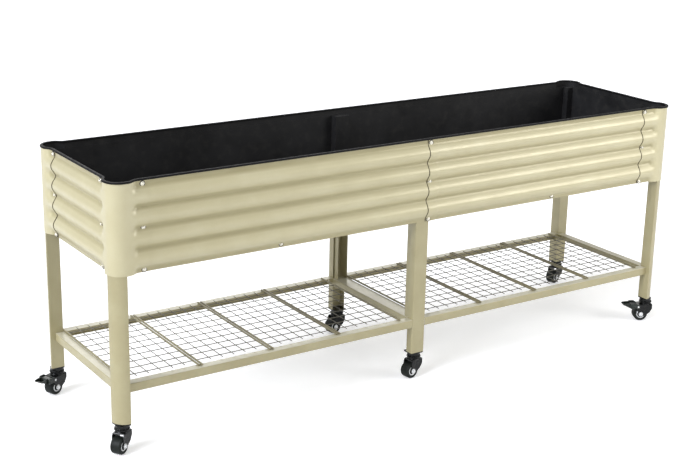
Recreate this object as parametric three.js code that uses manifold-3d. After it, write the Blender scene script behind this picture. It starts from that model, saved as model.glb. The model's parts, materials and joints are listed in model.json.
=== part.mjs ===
// Rolling planter: a long corrugated steel bed on six legs, with a wire shelf below and six
// swivel casters. All sizes are in millimetres, +Z is up and the wheels stand on z = 0.
// While it is built, x = 0 and y = 0 lie on the bed's front left corner, at ridge level.

import * as THREE from 'three';
import { mergeVertices } from 'three/addons/utils/BufferGeometryUtils.js';
import Module from 'manifold-3d';

const wasm = await Module();
wasm.setup();

// ---------------------------------------------------------------- driving dimensions

// Bed
const BED_LENGTH = 2032; // over the ridges
const BED_WIDTH = 508; // over the ridges
const RIM_HEIGHT = 762; // top edge of the wall panels
const BED_DEPTH = 254; // height of the wall panels
const CORNER_RADIUS = 41.5; // outside, at the rounded corners
const CORNER_STEPS = 6; // facets round one corner, also of the leg behind it
const SHEET = 1.2; // wall panel sheet
const LAP_GAP = 0.35; // between two lapped sheets
const SEAT_GAP = 0.3; // between two pieces that rest on each other

// Corrugation: level ridges with rounded valleys between them
const RIDGE_COUNT = 4;
const RIDGE_PITCH = 58;
const RIDGE_DEPTH = 13.5; // ridge to valley
const TOP_BAND = 14; // flat band above the top ridge
const RIDGE_PHASES = [-180, -135, -45, 0, 45, 135]; // degrees of the wave where a facet starts
const FADE_FAR = 80; // from the bed's corner: the valleys have their full depth from here on
const FADE_NEAR = 50; // from the bed's corner: the wall is smooth up to here

// Wall panels: how far each corner panel reaches along the two walls
const SHORT_CORNER_SIDE_ARM = 98;
const SHORT_CORNER_END_ARM = 80;
const LONG_CORNER_SIDE_ARM = 154;
const LONG_CORNER_END_ARM = 126;
const CORNER_LAP = 18; // under each arm of a corner panel
const MIDDLE_SEAM_SHIFT = -10.5; // edge of the upper sheet, from the middle of the bed
const MIDDLE_LAP = 28;
const JOGGLE = 12; // ramp where the upper sheet steps back behind the lap
const LAP_MARGIN = 1; // the lower sheet ends this much before the ramp

// Rubber edge trim round the rim
const TRIM_WALL = 1.8;
const TRIM_COVER = 6; // how far it reaches down over the panels
const TRIM_TOP = 2.4;
const TRIM_ROUND = 1.3;

// Legs
const LEG_WALL = 1.5;
const LEG_BOTTOM = 84;
const LEG_TOP_DROP = 20; // legs end this far under the panels' top edge
const WING_DROP = 4; // a leg's screw flanges start this far above the panels' bottom edge
const MIDDLE_LEG_WIDTH = 47;
const MIDDLE_LEG_DEPTH = 27;
const UPRIGHT_WIDTH = 38;
const UPRIGHT_DEPTH = 46;

// Shelf frame
const SHELF_TOP = 195;
const RAIL_HEIGHT = 25.5;
const RAIL_FLANGE = 27;
const RAIL_LIP = 10;
const RAIL_WALL = 1.5;
const MIDDLE_RAIL_WIDTH = 48;

// Wire shelf panels, four in each bay
const MESH_PER_BAY = 4;
const MESH_SPACE = 4; // between two panels
const MESH_END_SPACE = 30.4; // between a bay's last panel, with its space, and the leg beyond it
const ROD_DIAMETER = 6;
const ROD_SIDES = 8;
const ROD_BEARING = 13; // how far a rod's end lies on the rail
const WIRE = 2.4;
const WIRE_GAP = 0.3; // between the two layers of wire, except where they are welded
const MESH_COLUMNS = 6; // cells across a panel
const CROSS_WIRES = 10;
const CROSS_INSET = 24.6; // from the rail's edge to the first cross wire
const LONG_WIRE_SHORTFALL = 3; // wires end this far before the rail

// Floor of the bed and its liner
const BEAM_HEIGHT = 24;
const BEAM_WIDTH = 38;
const BEAM_WALL = 1.5;
const BEAM_RISE = 2; // beams start this far above the panels' bottom edge
const TRAY_SHEET = 1.5;
const TRAY_FLANGE = 22; // turned down at a tray's outer end
const DRAIN_RADIUS = 5;
const DRAIN_SIDES = 6;
const DRAIN_COLUMNS = 3;
const DRAIN_ROWS = 2;
const DRAIN_MARGIN = 0.25; // at both ends of a tray, in column spacings beyond the usual half
const LINER = 1.5;

// Casters
const WHEEL_RADIUS = 25;
const WHEEL_WIDTH = 31;
const WHEEL_SIDES = 16;
const TYRE_ROUND = 2.2;
const HUB_RECESS = 3; // the wheel's sides dish in by this much towards the axle
const AXLE_RADIUS = 4;
const AXLE_SIDES = 8;
const RUN_GAP = 0.3; // between a wheel and its axle, or a pin and its hole
const TRAIL = 17; // axle behind the swivel axis
const CHEEK = 2; // fork sheet
const CHEEK_SPACE = 1; // between the wheel and each cheek
const CHEEK_END_RADIUS = 8; // fork end round the axle
const CHEEK_END_STEPS = 4;
const CHEEK_END_FROM = -110; // degrees round the axle where the fork end's curve starts
const AXLE_NUT_RADIUS = 6.5;
const AXLE_NUT_SIDES = 6;
const AXLE_NUT = 4.5;
const FORK_TOP = 60;
const FORK_FRONT = -21; // fork's straight front edge, from the swivel axis
const FORK_BACK = 19;
const FORK_FRONT_LOW = 45; // height where the front edge starts to slope to the axle
const FORK_BACK_LOW = 52; // height where the back edge starts to slope out
const FORK_CHIN_X = -13; // two points of the slope from the front edge to the axle
const FORK_CHIN_Z = 30.5;
const FORK_HEEL_X = 2;
const FORK_HEEL_Z = 20;
const FORK_PIN_MARGIN = 5; // sheet behind the brake pin
const RACE_RADIUS = 20;
const RACE_HEIGHT = 5;
const KINGPIN_RADIUS = 5;
const KINGPIN_HEAD_RADIUS = 8;
const KINGPIN_HEAD = 2;
const HEAD_RADIUS = 22;
const HEAD_HEIGHT = 6.5;
const NECK_RADIUS = 18;
const HEAD_SIDES = 10;
const PLATE = 4;
const PLATE_INSET = 1; // caster plate inside the leg's outline
const MIDDLE_PLATE_DEPTH = 40;
const CORNER_CASTER_INSET = 23.5; // swivel axis from both ridge faces, at the corners
const MIDDLE_CASTER_INSET = 36; // swivel axis from the long wall's ridge face

// Brake pedals: two ears beside the fork, a deck between them and a step that rises outwards
const PEDAL = 1.5;
const PEDAL_PIVOT_X = 28;
const PEDAL_PIVOT_Z = 52;
const PEDAL_PIN_RADIUS = 2.4;
const PEDAL_PIN_LENGTH = 1.2; // beyond the pedal's ears
const EAR_ROUND = 6; // ear round its pin
const EAR_TOP = 63.5;
const EAR_BOTTOM = 45;
const DECK_START_X = 35;
const DECK_END_X = 54;
const DECK_TOP = 59;
const STEP_TIP_X = 82;
const STEP_TIP_Z = 59;
const STEP_HALF_WIDTH = 14;

// Where each caster's wheel trails, in degrees from +X seen from above
const CASTERS = [
  { name: 'front_left', corner: true, side: 'front', end: 'left', heading: 215, brake: false },
  { name: 'front_middle', corner: false, side: 'front', end: 'middle', heading: 189, brake: false },
  { name: 'front_right', corner: true, side: 'front', end: 'right', heading: 152, brake: true },
  { name: 'rear_left', corner: true, side: 'rear', end: 'left', heading: 205, brake: true },
  { name: 'rear_middle', corner: false, side: 'rear', end: 'middle', heading: 185, brake: false },
  { name: 'rear_right', corner: true, side: 'rear', end: 'right', heading: 195, brake: false },
];

const WELD_DISTANCE = 1e-3;
const OVERCUT = 1; // how far a cutting body runs past what it cuts

// ---------------------------------------------------------------- levels and planes

const BED_BOTTOM = RIM_HEIGHT - BED_DEPTH;
const MIDDLE = BED_LENGTH / 2;
const LAP = SHEET + LAP_GAP; // depth of the lower sheet behind the upper one
const WALL_INNER = RIDGE_DEPTH + LAP + SHEET; // inside face of the walls, in the valleys
const FRAME_FACE = WALL_INNER + SEAT_GAP; // outer face of wings, middle legs and rails
const LINING_FACE = FRAME_FACE + LEG_WALL + SEAT_GAP; // outer face of the liner and floor
const LEG_OUTER = SHEET + SEAT_GAP; // corner leg behind its panel
const LEG_RADIUS = CORNER_RADIUS - LEG_OUTER;
const LEG_TOP = RIM_HEIGHT - LEG_TOP_DROP;
const MIDDLE_LEG_TIP = FRAME_FACE + MIDDLE_LEG_DEPTH;
const BEAM_TOP = BED_BOTTOM + BEAM_RISE + BEAM_HEIGHT;
const TRAY_BOTTOM = BEAM_TOP + SEAT_GAP;
const TRAY_TOP = TRAY_BOTTOM + TRAY_SHEET;
const LINER_BOTTOM = TRAY_TOP + SEAT_GAP;
const LINER_LEDGE = LEG_TOP + SEAT_GAP;
const AXLE_HEIGHT = WHEEL_RADIUS * Math.cos(Math.PI / WHEEL_SIDES); // a facet lies on the floor
const CHEEK_INNER = WHEEL_WIDTH / 2 + CHEEK_SPACE;
const CHEEK_OUTER = CHEEK_INNER + CHEEK;
const PLATE_TOP = LEG_BOTTOM - SEAT_GAP;
const HEAD_BOTTOM = FORK_TOP + RACE_HEIGHT + SEAT_GAP;

// ---------------------------------------------------------------- materials

const PAINT_LOOK = { color: 0xc9c3a2, roughness: 0.42, metalness: 0.25 };
const LEG_LOOK = { color: 0xcfcab0, roughness: 0.4, metalness: 0.25 };
const WIRE_LOOK = { color: 0xb9b5a0, roughness: 0.4, metalness: 0.5 };
const GALVANISED_LOOK = { color: 0xb8bab8, roughness: 0.45, metalness: 0.8 };
const RUBBER_LOOK = { color: 0x17181a, roughness: 0.6, metalness: 0.0 };
const LINER_LOOK = { color: 0x1b1b1c, roughness: 0.75, metalness: 0.0 };
const BLACK_STEEL_LOOK = { color: 0x1d1f20, roughness: 0.25, metalness: 0.6 };
const TYRE_LOOK = { color: 0x232524, roughness: 0.5, metalness: 0.0 };

const planter = new THREE.Group();

function addPiece(name, geometry, look, parent = planter) {
  const material = new THREE.MeshStandardMaterial({ ...look, flatShading: true });
  const mesh = new THREE.Mesh(geometry, material);
  mesh.name = name;
  parent.add(mesh);
  return mesh;
}

// ---------------------------------------------------------------- solids

function signedVolume(positions, triangles) {
  let sum = 0;
  const a = new THREE.Vector3();
  const b = new THREE.Vector3();
  const c = new THREE.Vector3();
  for (let i = 0; i < triangles.length; i += 3) {
    a.fromArray(positions, 3 * triangles[i]);
    b.fromArray(positions, 3 * triangles[i + 1]);
    c.fromArray(positions, 3 * triangles[i + 2]);
    sum += a.dot(b.cross(c));
  }
  return sum / 6;
}

// A closed geometry as a solid whose faces point out.
function solid(geometry) {
  const bare = geometry.clone();
  bare.deleteAttribute('normal');
  bare.deleteAttribute('uv');
  const merged = mergeVertices(bare, WELD_DISTANCE);
  const vertProperties = new Float32Array(merged.attributes.position.array);
  const triVerts = new Uint32Array(merged.index.array);
  if (signedVolume(vertProperties, triVerts) < 0) {
    for (let i = 0; i < triVerts.length; i += 3) {
      [triVerts[i + 1], triVerts[i + 2]] = [triVerts[i + 2], triVerts[i + 1]];
    }
  }
  return new wasm.Manifold(new wasm.Mesh({ numProp: 3, vertProperties, triVerts }));
}

function geometryOf(body) {
  const mesh = body.getMesh();
  const geometry = new THREE.BufferGeometry();
  geometry.setAttribute('position', new THREE.BufferAttribute(mesh.vertProperties, 3));
  geometry.setIndex(new THREE.BufferAttribute(mesh.triVerts, 1));
  return geometry;
}

function joined(geometries) {
  let body = solid(geometries[0]);
  for (const geometry of geometries.slice(1)) {
    body = body.add(solid(geometry));
  }
  return geometryOf(body);
}

function cut(geometry, cutters) {
  let body = solid(geometry);
  for (const cutter of cutters) {
    body = body.subtract(solid(cutter));
  }
  return geometryOf(body);
}

// The same piece on the bed's opposite corner, turned half round.
function halfTurn(geometry) {
  return geometry.clone().rotateZ(Math.PI).translate(BED_LENGTH, BED_WIDTH, 0);
}

// The same piece mirrored to the bed's other end.
function mirroredEnd(geometry) {
  return geometryOf(solid(geometry.clone().scale(-1, 1, 1).translate(BED_LENGTH, 0, 0)));
}

function box(x0, x1, y0, y1, z0, z1) {
  const geometry = new THREE.BoxGeometry(x1 - x0, y1 - y0, z1 - z0);
  return geometry.translate((x0 + x1) / 2, (y0 + y1) / 2, (z0 + z1) / 2);
}

function shapeOf(points) {
  return new THREE.Shape(points.map(([u, v]) => new THREE.Vector2(u, v)));
}

function prismZ(shape, z0, z1) {
  const geometry = new THREE.ExtrudeGeometry(shape, { depth: z1 - z0, bevelEnabled: false });
  return geometry.translate(0, 0, z0);
}

// A section drawn in (y, z) and carried along X.
function prismX(points, x0, x1) {
  const yAxis = new THREE.Vector3(0, 1, 0);
  const zAxis = new THREE.Vector3(0, 0, 1);
  const xAxis = new THREE.Vector3(1, 0, 0);
  const turn = new THREE.Matrix4().makeBasis(yAxis, zAxis, xAxis);
  return prismZ(shapeOf(points), x0, x1).applyMatrix4(turn);
}

// A section drawn in (x, z) and carried along Y.
function prismY(points, y0, y1) {
  return prismZ(shapeOf(points), -y1, -y0).rotateX(Math.PI / 2);
}

function arcPoints(cx, cy, radius, from, to, steps) {
  const points = [];
  for (let i = 0; i <= steps; i++) {
    const angle = THREE.MathUtils.degToRad(THREE.MathUtils.lerp(from, to, i / steps));
    points.push([cx + radius * Math.cos(angle), cy + radius * Math.sin(angle)]);
  }
  return points;
}

// ---------------------------------------------------------------- corrugated walls

// Depth of the valleys at a distance from the bed's corner, as a share of the full depth.
function fadeAt(distance) {
  return THREE.MathUtils.clamp((distance - FADE_NEAR) / (FADE_FAR - FADE_NEAR), 0, 1);
}

// Where the panel below a corner panel's arm starts, from the bed's corner.
function lapStart(arm) {
  const start = arm - CORNER_LAP;
  return Math.abs(start - FADE_FAR) < OVERCUT ? FADE_FAR : start;
}

// Columns of the panel below: where it starts, and where the wall bends beyond that.
function lowerStations(arm) {
  const start = lapStart(arm);
  return [start, ...[FADE_NEAR, FADE_FAR].filter((s) => s > start)];
}

// Columns of a corner panel's arm. A panel that starts below it, where the valleys fade, adds
// one, so that the facets of both sheets match.
function armStations(arm) {
  const start = lapStart(arm);
  const startsInFade = start > FADE_NEAR && start < FADE_FAR;
  const stations = startsInFade ? [FADE_NEAR, start, FADE_FAR] : [FADE_NEAR, FADE_FAR];
  return [...stations.filter((s) => s < arm - OVERCUT), arm];
}

// Heights down the wall, each with how far it stands out: 1 on a ridge, 0 in a valley.
function wallRows() {
  const rows = [{ z: RIM_HEIGHT, ridge: 0 }];
  for (let i = 0; i < RIDGE_COUNT; i++) {
    const centre = RIM_HEIGHT - TOP_BAND - RIDGE_PITCH * (i + 0.5);
    for (const phase of RIDGE_PHASES) {
      const ridge = (1 + Math.cos(THREE.MathUtils.degToRad(phase))) / 2;
      rows.push({ z: centre - RIDGE_PITCH * phase / 360, ridge });
    }
  }
  rows.push({ z: RIM_HEIGHT - TOP_BAND - RIDGE_PITCH * RIDGE_COUNT, ridge: 0 });
  rows.push({ z: BED_BOTTOM, ridge: 0 });
  return rows;
}

// A column of the wall: a point at ridge level, the way in, the valley share and the layer.
function column(x, y, inX, inY, fade, layer) {
  return { x, y, inX, inY, fade, layer };
}

function pointInside(station, depth) {
  return [station.x + station.inX * depth, station.y + station.inY * depth];
}

// Triangles between two columns of rows, each corner as [0 for left or 1 for right, row].
function strip(left, right, leftFirst) {
  const triangles = [];
  let i = 0;
  let j = 0;
  while (i < left.length - 1 || j < right.length - 1) {
    const nextLeft = i < left.length - 1 ? left[i + 1] : Infinity;
    const nextRight = j < right.length - 1 ? right[j + 1] : Infinity;
    if (nextLeft < nextRight || (nextLeft === nextRight && leftFirst)) {
      triangles.push([[0, left[i]], [0, nextLeft], [1, right[j]]]);
      i += 1;
    } else {
      triangles.push([[0, left[i]], [1, nextRight], [1, right[j]]]);
      j += 1;
    }
  }
  return triangles;
}

// A corrugated sheet through a row of columns, closed round its edges.
function wallSheet(columns) {
  const rows = wallRows();
  const positions = [];
  for (const station of columns) {
    for (const row of rows) {
      const depth = RIDGE_DEPTH * (1 - row.ridge) * station.fade + station.layer;
      positions.push(...pointInside(station, depth), row.z);
      positions.push(...pointInside(station, depth + SHEET), row.z);
    }
  }
  const vertex = (c, r, face) => 2 * (c * rows.length + r) + face;
  const triangles = [];
  const quad = (a, b, c, d) => triangles.push(a, b, c, a, c, d);
  const lastColumn = columns.length - 1;
  const lastRow = rows.length - 1;
  const allRows = rows.map((row, r) => r);
  const isExtreme = (r) => r === 0 || r === lastRow || rows[r].ridge === 1 || rows[r].ridge === 0;
  const extremeRows = allRows.filter(isExtreme);
  const isSmooth = (c) => c < 0 || c > lastColumn || columns[c].fade === 0;
  const smoothAround = (c) => isSmooth(c - 1) && isSmooth(c) && isSmooth(c + 1);
  const edgeRows = (c) => (isSmooth(c) ? extremeRows : allRows);
  const rowsOf = (c) => (smoothAround(c) ? [0, lastRow] : edgeRows(c));
  for (let c = 0; c < lastColumn; c++) {
    // Facets are split the same way towards the corner, so that lapped sheets match.
    const leftFirst = columns[c].fade > columns[c + 1].fade;
    for (const [a, b, d] of strip(rowsOf(c), rowsOf(c + 1), leftFirst)) {
      const corners = [a, b, d].map(([side, r]) => [c + side, r]);
      const [outerA, outerB, outerD] = corners.map(([k, r]) => vertex(k, r, 0));
      const [innerA, innerB, innerD] = corners.map(([k, r]) => vertex(k, r, 1));
      triangles.push(outerA, outerB, outerD, innerA, innerD, innerB);
    }
    quad(vertex(c, 0, 0), vertex(c + 1, 0, 0), vertex(c + 1, 0, 1), vertex(c, 0, 1));
    quad(
      vertex(c, lastRow, 0), vertex(c, lastRow, 1),
      vertex(c + 1, lastRow, 1), vertex(c + 1, lastRow, 0),
    );
  }
  for (let r = 0; r < lastRow; r++) {
    quad(vertex(0, r, 0), vertex(0, r, 1), vertex(0, r + 1, 1), vertex(0, r + 1, 0));
    quad(
      vertex(lastColumn, r, 0), vertex(lastColumn, r + 1, 0),
      vertex(lastColumn, r + 1, 1), vertex(lastColumn, r, 1),
    );
  }
  const geometry = new THREE.BufferGeometry();
  geometry.setAttribute('position', new THREE.Float32BufferAttribute(positions, 3));
  geometry.setIndex(triangles);
  return geometryOf(solid(geometry));
}

// The rounded corner, from the end wall round to the long wall, at the front left.
function cornerColumns(endArm, sideArm) {
  const endStations = armStations(endArm).reverse();
  const sideStations = armStations(sideArm);
  const columns = endStations.map((s) => column(0, s, 1, 0, fadeAt(s), 0));
  for (let i = 0; i <= CORNER_STEPS; i++) {
    const angle = Math.PI * (1 + i / CORNER_STEPS / 2);
    const outX = Math.cos(angle);
    const outY = Math.sin(angle);
    const x = CORNER_RADIUS * (1 + outX);
    const y = CORNER_RADIUS * (1 + outY);
    columns.push(column(x, y, -outX, -outY, 0, 0));
  }
  columns.push(...sideStations.map((s) => column(s, 0, 0, 1, fadeAt(s), 0)));
  return columns;
}

const shortCornerPanel = wallSheet(cornerColumns(SHORT_CORNER_END_ARM, SHORT_CORNER_SIDE_ARM));
const longCornerPanel = mirroredEnd(
  wallSheet(cornerColumns(LONG_CORNER_END_ARM, LONG_CORNER_SIDE_ARM)),
);
addPiece('corner_panel_front_left', shortCornerPanel, PAINT_LOOK);
addPiece('corner_panel_rear_right', halfTurn(shortCornerPanel), PAINT_LOOK);
addPiece('corner_panel_front_right', longCornerPanel, PAINT_LOOK);
addPiece('corner_panel_rear_left', halfTurn(longCornerPanel), PAINT_LOOK);

// The front wall's two panels: the right one laps over the left one in the middle.
const middleSeam = MIDDLE + MIDDLE_SEAM_SHIFT;
const middleLapEnd = middleSeam + MIDDLE_LAP;
const frontLeftColumns = lowerStations(SHORT_CORNER_SIDE_ARM).map(
  (s) => column(s, 0, 0, 1, fadeAt(s), LAP),
);
frontLeftColumns.push(column(middleLapEnd - LAP_MARGIN, 0, 0, 1, 1, LAP));
const frontRightColumns = [
  column(middleSeam, 0, 0, 1, 1, 0),
  column(middleLapEnd, 0, 0, 1, 1, 0),
  column(middleLapEnd + JOGGLE, 0, 0, 1, 1, LAP),
];
for (const s of lowerStations(LONG_CORNER_SIDE_ARM).reverse()) {
  frontRightColumns.push(column(BED_LENGTH - s, 0, 0, 1, fadeAt(s), LAP));
}
const frontLeftPanel = wallSheet(frontLeftColumns);
const frontRightPanel = wallSheet(frontRightColumns);
addPiece('side_panel_front_left', frontLeftPanel, PAINT_LOOK);
addPiece('side_panel_rear_right', halfTurn(frontLeftPanel), PAINT_LOOK);
addPiece('side_panel_front_right', frontRightPanel, PAINT_LOOK);
addPiece('side_panel_rear_left', halfTurn(frontRightPanel), PAINT_LOOK);

const endColumns = lowerStations(SHORT_CORNER_END_ARM).map(
  (s) => column(0, s, 1, 0, fadeAt(s), LAP),
);
for (const s of lowerStations(LONG_CORNER_END_ARM).reverse()) {
  endColumns.push(column(0, BED_WIDTH - s, 1, 0, fadeAt(s), LAP));
}
const leftEndPanel = wallSheet(endColumns);
addPiece('end_panel_left', leftEndPanel, PAINT_LOOK);
addPiece('end_panel_right', halfTurn(leftEndPanel), PAINT_LOOK);

// ---------------------------------------------------------------- rim trim

// The rim's line round the whole bed, anticlockwise, as wall columns.
function rimStations() {
  const corner = cornerColumns(FADE_FAR, FADE_FAR).filter((s) => s.fade % 1 === 0);
  const acrossX = (s) => column(BED_LENGTH - s.x, s.y, -s.inX, s.inY, s.fade, s.layer);
  const acrossY = (s) => column(s.x, BED_WIDTH - s.y, s.inX, -s.inY, s.fade, s.layer);
  return [
    ...corner,
    ...corner.map(acrossX).reverse(),
    ...corner.map(acrossX).map(acrossY),
    ...corner.map(acrossY).reverse(),
  ];
}

function rimPoint(station, depth) {
  return pointInside(station, RIDGE_DEPTH * station.fade + depth);
}

function rimOutline(depth) {
  return shapeOf(rimStations().map((station) => rimPoint(station, depth)));
}

// A closed section of (depth, z) points carried round the rim.
function rimSweep(section) {
  const stations = rimStations();
  const positions = [];
  for (const station of stations) {
    for (const [depth, z] of section) {
      positions.push(...rimPoint(station, depth), z);
    }
  }
  const triangles = [];
  const count = section.length;
  for (let s = 0; s < stations.length; s++) {
    const here = s * count;
    const next = ((s + 1) % stations.length) * count;
    for (let i = 0; i < count; i++) {
      const j = (i + 1) % count;
      triangles.push(here + i, here + j, next + j, here + i, next + j, next + i);
    }
  }
  const geometry = new THREE.BufferGeometry();
  geometry.setAttribute('position', new THREE.Float32BufferAttribute(positions, 3));
  geometry.setIndex(triangles);
  return geometryOf(solid(geometry));
}

const linerDepth = LAP + SHEET + SEAT_GAP; // liner's outer face, behind the lapped panels
const slotOuter = -SEAT_GAP;
const slotInner = linerDepth + LINER + SEAT_GAP;
const trimOuter = slotOuter - TRIM_WALL;
const trimInner = slotInner + TRIM_WALL;
const trimBottom = RIM_HEIGHT - TRIM_COVER;
const slotTop = RIM_HEIGHT + SEAT_GAP;
const trimTop = slotTop + TRIM_TOP;
addPiece('rim_trim', rimSweep([
  [trimOuter, trimBottom],
  [trimOuter, trimTop - TRIM_ROUND],
  [trimOuter + TRIM_ROUND, trimTop],
  [trimInner - TRIM_ROUND, trimTop],
  [trimInner, trimBottom],
  [slotInner, trimBottom],
  [slotInner, slotTop],
  [slotOuter, slotTop],
  [slotOuter, trimBottom],
]), RUBBER_LOOK);

// ---------------------------------------------------------------- legs

// Quarter round tube behind the rounded corner, with a screw flange along each wall.
function cornerLeg(endArm, sideArm) {
  const centre = LEG_OUTER + LEG_RADIUS;
  const outer = [
    [centre, centre],
    ...arcPoints(centre, centre, LEG_RADIUS, 180, 270, CORNER_STEPS),
  ];
  const innerRadius = LEG_RADIUS - LEG_WALL;
  const bend = THREE.MathUtils.radToDeg(Math.asin(LEG_WALL / innerRadius));
  const inner = [
    [centre - LEG_WALL, centre - LEG_WALL],
    ...arcPoints(centre, centre, innerRadius, 180 + bend, 270 - bend, CORNER_STEPS),
  ];
  const section = shapeOf(outer);
  section.holes.push(shapeOf(inner));
  const tube = prismZ(section, LEG_BOTTOM, LEG_TOP);
  const flangeBottom = BED_BOTTOM + WING_DROP;
  const root = centre - LEG_WALL / 2;
  const inside = FRAME_FACE + LEG_WALL;
  return joined([
    tube,
    box(root, sideArm, FRAME_FACE, inside, flangeBottom, LEG_TOP),
    box(FRAME_FACE, inside, root, endArm, flangeBottom, LEG_TOP),
  ]);
}

const shortCornerLeg = cornerLeg(SHORT_CORNER_END_ARM, SHORT_CORNER_SIDE_ARM);
const longCornerLeg = mirroredEnd(cornerLeg(LONG_CORNER_END_ARM, LONG_CORNER_SIDE_ARM));
addPiece('corner_leg_front_left', shortCornerLeg, LEG_LOOK);
addPiece('corner_leg_rear_right', halfTurn(shortCornerLeg), LEG_LOOK);
addPiece('corner_leg_front_right', longCornerLeg, LEG_LOOK);
addPiece('corner_leg_rear_left', halfTurn(longCornerLeg), LEG_LOOK);

// A channel open towards the middle of the bed, standing upright.
function channel(width, face, depth, wall, z0, z1) {
  const left = MIDDLE - width / 2;
  const right = MIDDLE + width / 2;
  const tip = face + depth;
  return prismZ(shapeOf([
    [left, face],
    [right, face],
    [right, tip],
    [right - wall, tip],
    [right - wall, face + wall],
    [left + wall, face + wall],
    [left + wall, tip],
    [left, tip],
  ]), z0, z1);
}

const middleLeg = channel(
  MIDDLE_LEG_WIDTH, FRAME_FACE, MIDDLE_LEG_DEPTH, LEG_WALL, LEG_BOTTOM, LEG_TOP,
);
const uprightFace = FRAME_FACE + LEG_WALL + SEAT_GAP;
const upright = channel(
  UPRIGHT_WIDTH, uprightFace, UPRIGHT_DEPTH, LEG_WALL,
  SHELF_TOP + SEAT_GAP, BED_BOTTOM + BEAM_RISE - SEAT_GAP,
);
addPiece('middle_leg_front', middleLeg, LEG_LOOK);
addPiece('middle_leg_rear', halfTurn(middleLeg), LEG_LOOK);
addPiece('middle_upright_front', upright, LEG_LOOK);
addPiece('middle_upright_rear', halfTurn(upright), LEG_LOOK);

// ---------------------------------------------------------------- shelf frame

const railBottom = SHELF_TOP - RAIL_HEIGHT;
const railSection = [
  [FRAME_FACE, railBottom],
  [FRAME_FACE + RAIL_LIP, railBottom],
  [FRAME_FACE + RAIL_LIP, railBottom + RAIL_WALL],
  [FRAME_FACE + RAIL_WALL, railBottom + RAIL_WALL],
  [FRAME_FACE + RAIL_WALL, SHELF_TOP - RAIL_WALL],
  [FRAME_FACE + RAIL_FLANGE, SHELF_TOP - RAIL_WALL],
  [FRAME_FACE + RAIL_FLANGE, SHELF_TOP],
  [FRAME_FACE, SHELF_TOP],
];
const legInner = LEG_OUTER + LEG_RADIUS;
const bayStart = legInner + SEAT_GAP;
const bayEnd = MIDDLE - MIDDLE_LEG_WIDTH / 2 - SEAT_GAP;
const sideRail = prismX(railSection, bayStart, bayEnd);
const farSideRail = prismX(railSection, BED_LENGTH - bayEnd, BED_LENGTH - bayStart);
const railInner = FRAME_FACE + RAIL_FLANGE;
const endRailStart = Math.max(bayStart, railInner + SEAT_GAP);
const endRail = prismY(railSection, endRailStart, BED_WIDTH - endRailStart);
addPiece('shelf_rail_front_left', sideRail, LEG_LOOK);
addPiece('shelf_rail_rear_right', halfTurn(sideRail), LEG_LOOK);
addPiece('shelf_rail_front_right', farSideRail, LEG_LOOK);
addPiece('shelf_rail_rear_left', halfTurn(farSideRail), LEG_LOOK);
addPiece('shelf_rail_left_end', endRail, LEG_LOOK);
addPiece('shelf_rail_right_end', halfTurn(endRail), LEG_LOOK);

// A channel open downwards, carried along Y between the middle legs.
function beamAcross(centre, width, wall, z0, z1, y0, y1) {
  const left = centre - width / 2;
  const right = centre + width / 2;
  return prismY([
    [left, z0],
    [left + wall, z0],
    [left + wall, z1 - wall],
    [right - wall, z1 - wall],
    [right - wall, z0],
    [right, z0],
    [right, z1],
    [left, z1],
  ], y0, y1);
}

const legTipStart = MIDDLE_LEG_TIP + SEAT_GAP;
addPiece('shelf_rail_middle', beamAcross(
  MIDDLE, MIDDLE_RAIL_WIDTH, RAIL_WALL, railBottom, SHELF_TOP,
  legTipStart, BED_WIDTH - legTipStart,
), LEG_LOOK);

// ---------------------------------------------------------------- wire shelf panels

const rodLevel = SHELF_TOP + SEAT_GAP + ROD_DIAMETER / 2;
const meshPitch = (bayEnd - bayStart - MESH_END_SPACE) / MESH_PER_BAY;
const meshWidth = meshPitch - MESH_SPACE;
const crossSpan = BED_WIDTH - 2 * (railInner + CROSS_INSET);

function rodAcross(x) {
  const radius = ROD_DIAMETER / 2 / Math.cos(Math.PI / ROD_SIDES);
  const first = 180 / ROD_SIDES;
  const section = arcPoints(x, rodLevel, radius, first, first + 360, ROD_SIDES).slice(0, -1);
  const start = railInner - ROD_BEARING;
  return prismY(section, start, BED_WIDTH - start);
}

// Cross wires run between the two rods; the long wires lie on them, welded to the front one.
function meshPanel() {
  const rodX = ROD_DIAMETER / 2;
  const lowerTop = rodLevel + WIRE / 2;
  const upperBottom = lowerTop + WIRE_GAP;
  const pieces = [rodAcross(rodX), rodAcross(meshWidth - rodX)];
  for (let i = 0; i < CROSS_WIRES; i++) {
    const y = BED_WIDTH / 2 + crossSpan * (i / (CROSS_WIRES - 1) - 0.5);
    const welded = i === 0;
    const top = welded ? upperBottom + WIRE / 2 : lowerTop;
    pieces.push(box(rodX, meshWidth - rodX, y - WIRE / 2, y + WIRE / 2, rodLevel - WIRE / 2, top));
  }
  const start = railInner + LONG_WIRE_SHORTFALL;
  for (let i = 1; i < MESH_COLUMNS; i++) {
    const x = THREE.MathUtils.lerp(rodX, meshWidth - rodX, i / MESH_COLUMNS);
    pieces.push(box(
      x - WIRE / 2, x + WIRE / 2, start, BED_WIDTH - start, upperBottom, upperBottom + WIRE,
    ));
  }
  return joined(pieces);
}

const mesh = meshPanel();
const bayStarts = [bayStart, BED_LENGTH - bayEnd];
let meshNumber = 0;
for (const start of bayStarts) {
  for (let i = 0; i < MESH_PER_BAY; i++) {
    meshNumber += 1;
    const panel = addPiece(`shelf_mesh_${meshNumber}`, mesh.clone(), WIRE_LOOK);
    panel.position.x = start + i * meshPitch;
  }
}

// ---------------------------------------------------------------- floor and liner

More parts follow.
